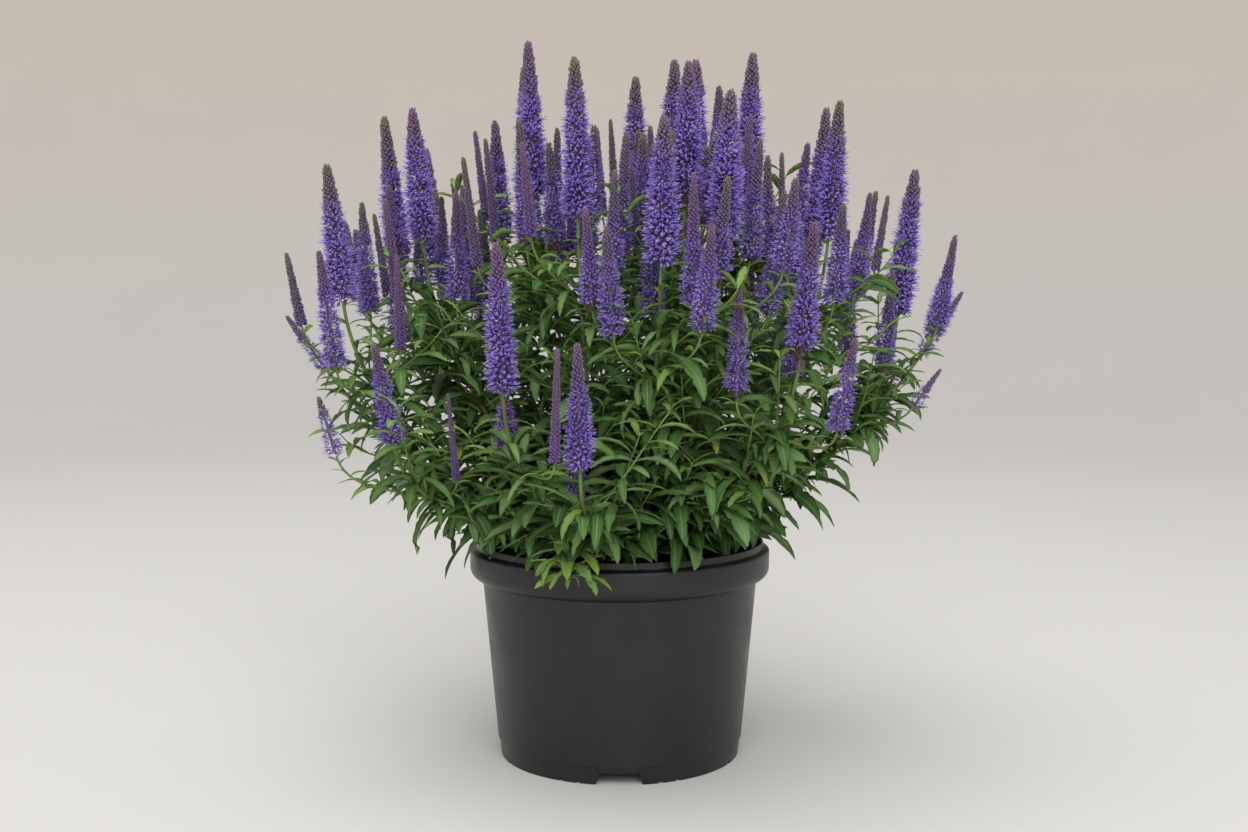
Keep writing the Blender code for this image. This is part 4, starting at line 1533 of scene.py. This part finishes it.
    def build(self, random: Random) -> bpy.types.Object:
        """Makes the stem, its branches and its leaves as one piece.

        Args:
            random: Source of their differences.

        Returns:
            The piece.
        """
        batch = Batch(LEAF_VALUES)
        line = self.line()
        thickness = np.linspace(self.foot_radius, self.head_radius, len(line))
        add_stalk(batch, line, thickness, 8, 0.9)
        leaves = self.paired(line, self.lower, random)
        upper = self.paired(line, self.upper, random)
        small = self.tufts(line, random).joined(upper)
        for spike in self.spikes[1:]:
            branch = self.branch(line, spike)
            add_stalk(batch, branch, np.full(len(branch), self.branch_radius), 6, 0.5)
            small = small.joined(self.paired(branch, self.on_branch, random))
        for shoot in self.side_shoots(line, random):
            add_stalk(batch, shoot, np.linspace(self.branch_radius, self.tip_radius, len(shoot)), 6, 0.35)
            leaves = leaves.joined(self.paired(shoot, self.on_shoot, random))
        BROAD_BLADE.grow(batch, self.clear(leaves, BROAD_BLADE), random, self.scorched)
        SMALL_BLADE.grow(batch, self.clear(small, SMALL_BLADE), random)
        return batch.piece(f"stem_and_leaves_{self.name}")


@dataclass
class DroopingShoot(LeafyStem):
    """The flowerless shoot that hangs over the rim in front."""

    rise_deg: float = 34.0
    fall: tuple[float, float, float] = (0.10, -0.62, -0.78)
    hang: float = 0.020  # the young leaves hang this far past the solid's end
    leaf_slimness: float = 0.26
    lower: Row = Row(0.16, 0.97, (0.042, 0.034), (0.40, 0.15), 0.0100)
    bud: Row = Row(0.985, 1.0, (0.014, 0.010), (0.1, 0.0), 0.003)
    rosette_turns_deg: tuple[float, ...] = (-100.0, -62.0, -30.0, 4.0, 36.0, 68.0, 104.0, -8.0, -78.0, 84.0)
    rosette_length: Pair = (0.027, 0.036)

    def line(self) -> Array:
        """A cubic curve that leaves the compost leaning outwards and arrives hanging down.

        Returns:
            Its points, and two more where it hangs on past the solid's end.
        """
        end = self.meeting
        outward = heading(np.array(math.atan2(end[1], end[0])))
        rise = math.radians(self.rise_deg)
        leave = math.sin(rise) * outward + math.cos(rise) * UP
        span = self.reach * np.linalg.norm(end - self.foot)
        fall = unit(np.array(self.fall))
        arch = cubic(self.foot - 0.002 * UP, self.foot + span * leave, end - span * fall, end, 30)
        drop = unit(fall - 0.5 * UP)
        return np.vstack([arch, end + 0.5 * self.hang * fall, end + 0.5 * self.hang * (fall + drop)])

    def rosette(self, line: Array, random: Random) -> LeafSet:
        """The leaves round the shoot's end, which spread to both sides and away from the pot.

        Args:
            line: The shoot's centreline.
            random: Source of their differences.

        Returns:
            The leaves.
        """
        count = len(self.rosette_turns_deg)
        foot, _ = places_along(line, np.linspace(0.80, 0.985, count)[random.permutation(count)])
        outward = math.atan2(self.meeting[1], self.meeting[0])
        azimuth = outward + np.radians(self.rosette_turns_deg) + random.normal(0.0, 0.12, count)
        length = random.uniform(*self.rosette_length, count)
        width = length * self.leaf_slimness * random.uniform(0.95, 1.15, count)
        raised, drooped = random.uniform(-0.15, 0.35, count), random.uniform(0.6, 1.3, count)
        age = random.uniform(0.0, 0.25, count)
        return LeafSet(foot, azimuth, length, width, raised, drooped, age)

    def build(self, random: Random) -> bpy.types.Object:
        """Makes the shoot and its leaves, which are younger and greener than the others.

        Args:
            random: Source of their differences.

        Returns:
            The piece.
        """
        batch = Batch(LEAF_VALUES)
        line = self.line()
        add_stalk(batch, line, np.linspace(0.0017, 0.0009, len(line)), 8, 0.3)
        leaves = self.paired(line, self.lower, random)
        small = self.tufts(line, random)
        tip = self.rosette(line, random)
        bud = self.paired(line, self.bud, random)
        BROAD_BLADE.grow(batch, self.clear(leaves.joined(tip), BROAD_BLADE), random)
        SMALL_BLADE.grow(batch, self.clear(small.joined(bud), SMALL_BLADE), random)
        return batch.piece("drooping_shoot_leaves")


# ------------------------------------------------------------------------------------- spikes


FLOWER_VALUES = ("part", "tint", "up", "out")


class Organ(Enum):
    """What a point of a spike is on; the finish reads the number."""

    PETAL = 0.0
    THREAD = 1.0
    BUD = 2.0
    GREEN = 3.0
    WITHERED = 4.0


@dataclass(frozen=True)
class Floret:
    """An open flower: a calyx, four narrow petals that spread, two stamens and a style. +Z is out."""

    tube: float = 0.0025
    petal_length: float = 0.0044
    petal_half_width: float = 0.00100
    petal_faces: Pair = (-0.00016, 0.00030)  # its middle's two sides, off the plane of its rim
    spread_deg: float = 46.0
    stamen_length: float = 0.0066
    threads: tuple[tuple, ...] = ((-0.5, 1.0, 0.00034), (0.5, 0.92, 0.00034), (2.4, 1.08, 0.00018))

    def petal(self, azimuth: float) -> Shape:
        """One petal: a thin kite with a raised middle, closed all round.

        Args:
            azimuth: The way it points, about the flower's axis.

        Returns:
            The petal.
        """
        tilt = math.radians(self.spread_deg)
        outward = heading(np.array(azimuth))
        along = math.sin(tilt) * outward + math.cos(tilt) * UP
        side = np.cross(UP, outward)
        face = np.cross(along, side)
        base = self.tube * UP + 0.0003 * outward
        middle = base + 0.58 * self.petal_length * along
        half, tip = self.petal_half_width * side, base + self.petal_length * along
        low, high = (middle + rise * face for rise in self.petal_faces)
        points = np.array([base, middle + half, tip, middle - half, low, high])
        order = np.arange(4)
        ahead = np.roll(order, -1)
        front = np.stack([order, ahead, np.full(4, 4)], axis=-1)
        back = np.stack([ahead, order, np.full(4, 5)], axis=-1)
        return points, np.vstack([front, back])

    def shape(self) -> tuple[Shape, Array, Array]:
        """The whole flower. A thread is given by its turn, its share of the length and its radius.

        Returns:
            The flower, with each point's organ and its share outwards.
        """
        base = np.zeros(3)
        calyx = spindle(base, 1.25 * self.tube * UP, ((0.55, 0.00075),), 4)
        petals = [self.petal(math.pi * (0.25 + 0.5 * quarter)) for quarter in range(4)]
        threads = []
        for way, reach, width in self.threads:
            lean = 0.36 * np.array([math.sin(way), math.cos(way), 0.0])
            end = self.tube * UP + reach * self.stamen_length * unit(UP + lean)
            threads.append(spindle(0.6 * self.tube * UP, end, ((0.88, width),), 3))
        groups = (([calyx], Organ.GREEN), (petals, Organ.PETAL), (threads, Organ.THREAD))
        organs = [np.full(sum(len(one[0]) for one in group), organ.value) for group, organ in groups]
        whole = merged([calyx, *petals, *threads])
        reach = np.linalg.norm(whole[0], axis=1)
        return whole, np.concatenate(organs), np.clip(reach / (self.tube + self.petal_length), 0.0, 1.0)


@dataclass
class SpikeMaker:
    """Covers a spike with florets below and buds above, on a golden spiral round its axis."""

    spike: Spike
    bloom: float
    girth: float
    withered: float
    hue: float
    core: float = 0.0019
    open_spacing: float = 0.00039
    bud_spacing: float = 0.00025
    bud_size: Pair = (0.0030, 0.0012)  # at the lowest bud, and how much it loses to the tip
    bud_radius: Pair = (0.0022, 0.0009)  # of the spike under the buds, likewise
    overlap: float = 0.10  # share of the spike where buds and open florets mix
    floret: Floret = Floret()

    def spiral(self, low: float, high: float, spacing: float, random: Random) -> tuple[Array, Array]:
        """Places on the spiral.

        Args:
            low: Share of the spike where it starts.
            high: Share where it ends.
            spacing: Distance along the axis from one place to the next.
            random: Source of their small differences.

        Returns:
            (k,) shares and azimuths: each place is one spacing further and a golden angle round.
        """
        count = max(1, int((high - low) * self.spike.length / spacing))
        share = low + (high - low) * (np.arange(count) + random.uniform(0.0, 1.0, count)) / count
        azimuth = random.uniform(0.0, 2 * math.pi) + GOLDEN_ANGLE * np.arange(count)
        azimuth = azimuth + random.normal(0.0, 0.10, count)
        return share, azimuth

    def axes(self, azimuth: Array, rise: Array, size: Array, roll: Array) -> Array:
        """Axes of organs that point out from the spike's axis.

        Args:
            azimuth: (k,) turns round the spike.
            rise: (k,) angles up from square to it.
            size: (k,) lengths of the axes.
            roll: (k,) turns about the organ's own axis.

        Returns:
            (k, 3, 3) images of X, Y and Z, in rows; Z points out.
        """
        up = self.spike.axis
        across, through = square_to(up, SPIKE_HINT)
        out = np.cos(azimuth)[:, None] * across + np.sin(azimuth)[:, None] * through
        along = np.cos(rise)[:, None] * out + np.sin(rise)[:, None] * up
        side = unit(np.cross(np.broadcast_to(up, along.shape), along))
        third = np.cross(along, side)
        first = np.cos(roll)[:, None] * side + np.sin(roll)[:, None] * third
        second = np.cos(roll)[:, None] * third - np.sin(roll)[:, None] * side
        return np.stack([first, second, along], axis=1) * size[:, None, None]

    def origins(self, share: Array, azimuth: Array, radius: Array) -> Array:
        """Points at shares of the spike's length and distances from its axis.

        Args:
            share: (k,) shares.
            azimuth: (k,) turns round the spike.
            radius: (k,) distances.

        Returns:
            (k, 3) points.
        """
        still = 0.0 * azimuth
        level = (share * self.spike.length)[:, None] * self.spike.axis
        out = self.axes(azimuth, still, 1.0 + still, still)[:, 2]
        return self.spike.foot + level + radius[:, None] * out

    def open_flowers(self, batch: Batch, random: Random) -> None:
        """Adds the open florets, largest in the lower part of the bloom.

        Args:
            batch: Where they go.
            random: Source of their differences.
        """
        spacing = self.open_spacing / min(self.girth, 1.0)
        share, azimuth = self.spiral(0.02, self.bloom, spacing, random)
        rank = share / max(self.bloom, 0.05)
        form = 1.14 - 0.52 * rank**1.7 - 0.24 * np.exp(-rank / 0.09)
        size = self.girth * form * random.uniform(0.80, 1.20, len(share))
        rise = np.radians(-4.0 + 34.0 * rank) + random.normal(0.0, 0.22, len(share))
        shape, organs, reach = self.floret.shape()
        spent = share < self.withered
        fades = spent[:, None] & (organs < Organ.GREEN.value)
        organ = np.where(fades, Organ.WITHERED.value, organs[None])
        size = np.where(spent, 0.62 * size, size)
        tint = random.uniform(0.0, 1.0, len(share))
        roll = random.uniform(0.0, 2 * math.pi, len(share))
        origins = self.origins(share, azimuth, 0.0 * share + self.core)
        axes = self.axes(azimuth, rise, size, roll)
        values = {"part": organ, "tint": tint[:, None], "up": share[:, None], "out": reach[None]}
        batch.add_copies(shape, origins, axes, **values)

    def buds(self, batch: Batch, random: Random) -> None:
        """Adds the closed buds, which shrink and turn upright towards the tip.

        Args:
            batch: Where they go.
            random: Source of their differences.
        """
        low = max(0.0, self.bloom - self.overlap)
        share, azimuth = self.spiral(low, 0.995, self.bud_spacing, random)
        rank = np.clip((share - low) / (1.0 - low), 0.0, 1.0)
        size = self.girth * (self.bud_size[0] - self.bud_size[1] * rank)
        size = size * random.uniform(0.85, 1.15, len(share))
        rise = np.radians(22.0 + 50.0 * rank**1.5) + random.normal(0.0, 0.10, len(share))
        radius = self.girth * (self.bud_radius[0] - self.bud_radius[1] * rank)
        radius = radius * np.sqrt(np.clip((1.0 - share) / 0.05, 0.0, 1.0))
        shape = spindle(np.zeros(3), np.array([0.0, 0.0, 1.5]), ((0.24, 0.38), (0.66, 0.40)), 4)
        reach = np.clip(shape[0][:, 2] / 1.5, 0.0, 1.0)
        tint = np.clip(self.hue + random.normal(0.0, 0.10, len(share)), 0.0, 1.0)
        up = share if self.bloom > 0.05 else 0.55 + 0.45 * share
        values = {"part": Organ.BUD.value, "tint": tint[:, None], "up": up[:, None], "out": reach[None]}
        axes = self.axes(azimuth, rise, size, 0.0 * share)
        batch.add_copies(shape, self.origins(share, azimuth, radius), axes, **values)

    def build(self, batch: Batch, random: Random) -> None:
        """Adds the whole spike: its core, then its florets and buds.

        Args:
            batch: Where it goes.
            random: Source of its differences.
        """
        spike = self.spike
        line = spike.foot + np.linspace(0.0015, 0.99 * spike.length, 12)[:, None] * spike.axis
        radii = self.girth * np.linspace(1.25 * self.core, 0.65 * self.core, len(line))
        radii[0] *= 0.5
        add_stalk(batch, line, radii, 6, 0.0, part=Organ.BUD.value, tint=self.hue, up=0.7)
        if self.bloom > 0.05:
            self.open_flowers(batch, random)
        self.buds(batch, random)


@dataclass
class FlowerHead:
    """All the spikes of one stem."""

    name: str
    spikes: list[Spike]
    usual: float = 0.0093  # radius of a spike's solid at a girth of 1
    girths: Pair = (0.55, 1.2)
    tall_bloom: Pair = (0.64, 0.84)  # share of a tall spike that is in flower
    side_bloom: Pair = (0.45, 0.80)  # and of a side spike that isn't all buds
    in_bud: float = 0.30  # share of the side spikes that are all buds
    bud_girth: float = 0.85  # and how slim they are
    fading: float = 0.25  # share of the spikes whose lowest flowers have withered
    faded: float = 0.10  # and how far up
    hues: Pair = (0.25, 0.95)

    def build(self, random: Random) -> bpy.types.Object:
        """Makes the spikes as one piece: the tall one in bloom, some side ones still in bud.

        Args:
            random: Source of their differences.

        Returns:
            The piece.
        """
        batch = Batch(FLOWER_VALUES)
        for spike in self.spikes:
            girth = np.clip(spike.radius / self.usual, *self.girths) * random.uniform(0.94, 1.06)
            bloom = random.uniform(*self.tall_bloom)
            if not spike.terminal:
                blooms = [0.0, random.uniform(*self.side_bloom)]
                bloom = random.choice(blooms, p=[self.in_bud, 1.0 - self.in_bud])
                girth = girth if bloom > 0.0 else self.bud_girth * girth
            withered = random.choice([0.0, self.faded], p=[1.0 - self.fading, self.fading])
            hue = random.uniform(*self.hues)
            SpikeMaker(spike, float(bloom), float(girth), float(withered), float(hue)).build(batch, random)
        return batch.piece(f"flower_spikes_{self.name}")


# ------------------------------------------------------------------------------------- studio


@dataclass
class Studio:
    """The floor, the lights and the camera."""

    flat_radius: float = 2.6
    sweep_radius: float = 3.0
    key_size: float = 3.2
    key_power: float = 56.0
    key_place: tuple[float, float, float] = (-0.7, -0.5, 3.7)
    fill_size: float = 2.6
    fill_power: float = 66.0
    fill_place: tuple[float, float, float] = (0.3, -2.9, 2.2)
    sky: float = 0.54
    aim_point: tuple[float, float, float] = (0.0, 0.0, 0.28)
    camera_place: tuple[float, float, float] = (0.0033, -1.148, 0.350)
    camera_down_deg: float = 4.5
    lens: float = 43.27

    def floor(self) -> None:
        """Makes the seamless floor: flat, then curving up all round like the inside of a bowl."""
        flat = np.linspace(0.05, self.flat_radius, 12)
        turn = np.linspace(0.0, 0.5 * math.pi, 16)[1:]
        radii = np.concatenate([flat, self.flat_radius + self.sweep_radius * np.sin(turn)])
        heights = np.concatenate([0.0 * flat, self.sweep_radius * (1.0 - np.cos(turn))])
        azimuth = turns(96)
        points = radii[:, None, None] * heading(azimuth) + heights[:, None, None] * UP
        batch = Batch(())
        centre = np.zeros((1, 3))
        triangles = grid_triangles(len(radii), len(azimuth))[:, ::-1]
        index = np.arange(len(azimuth))
        middle = np.stack([np.roll(index, -1), index, np.full(len(index), points.size // 3)], axis=-1)
        batch.add(np.vstack([points.reshape(-1, 3), centre]), np.vstack([triangles, middle]))
        made = batch.piece("studio_floor")
        made.data.materials.append(StudioPaper().build())

    @staticmethod
    def aim(made: bpy.types.Object, place: tuple, target: tuple) -> None:
        """Puts an object at a place and points it at a target."""
        made.location = place
        made.rotation_euler = (Vector(target) - Vector(place)).to_track_quat("-Z", "Y").to_euler()

    def softbox(self, name: str, size: float, power: float, place: tuple, colour: tuple) -> None:
        """Adds a square area light that points at the clump.

        Args:
            name: Its name.
            size: Its side.
            power: Its power in watts.
            place: Where it is.
            colour: Its colour.
        """
        lamp = bpy.data.lights.new(name, "AREA")
        lamp.size = size
        lamp.energy = power
        lamp.color = colour
        made = bpy.data.objects.new(name, lamp)
        bpy.context.scene.collection.objects.link(made)
        self.aim(made, place, self.aim_point)

    def light(self) -> None:
        """Adds a large key above on the left, a fill in front on the right and a pale sky."""
        self.softbox("key_light", self.key_size, self.key_power, self.key_place, (1.0, 0.985, 0.96))
        self.softbox("fill_light", self.fill_size, self.fill_power, self.fill_place, (0.99, 0.99, 1.0))
        world = bpy.data.worlds.new("studio_sky")
        world.use_nodes = True
        sky = world.node_tree.nodes["Background"]
        sky.inputs["Color"].default_value = (0.98, 0.99, 1.0, 1.0)
        sky.inputs["Strength"].default_value = self.sky
        bpy.context.scene.world = world
        bpy.context.scene.view_settings.view_transform = "Standard"

    def camera(self) -> None:
        """Adds the camera, in front and a little above the clump's middle."""
        lens = bpy.data.cameras.new("camera")
        lens.lens = self.lens
        lens.clip_start = 0.05
        made = bpy.data.objects.new("camera", lens)
        bpy.context.scene.collection.objects.link(made)
        made.location = self.camera_place
        made.rotation_euler = (math.radians(90.0 - self.camera_down_deg), 0.0, 0.0)
        bpy.context.scene.camera = made


# --------------------------------------------------------------------------------------- main


def main() -> None:
    """Builds everything in order."""
    logging.basicConfig(level=logging.INFO, format="%(name)s %(message)s")
    random = np.random.default_rng(7)

    pot = NurseryPot()
    hand_over(pot.build(), NurseryPlastic().build(), "pot_plastic", "pot")
    hand_over(CompostBed(pot).build(random), PottingCompost().build(), "compost", "compost")

    foliage, flowers = Foliage().build(), FlowerSpike().build()
    for head in sorted(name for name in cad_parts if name.startswith("flower_head_")):
        number = head.removeprefix("flower_head_")
        stem = f"leafy_stem_{number}"
        spikes = spikes_in(head)
        leafy = LeafyStem(number, pot, stem_foot(stem), junction(stem, head), spikes)
        hand_over(leafy.build(random), foliage, "stem_and_leaf", stem)
        hand_over(FlowerHead(number, spikes).build(random), flowers, "flower", head)
    ends = cut_ends("drooping_shoot")
    foot = stem_foot("drooping_shoot")
    far = ends[np.argmax(np.linalg.norm(ends - foot, axis=1))]
    shoot = DroopingShoot("drooping", pot, foot, far, [])
    hand_over(shoot.build(random), foliage, "stem_and_leaf", "drooping_shoot")

    studio = Studio()
    studio.floor()
    studio.light()
    studio.camera()


if __name__ == "__main__":
    main()
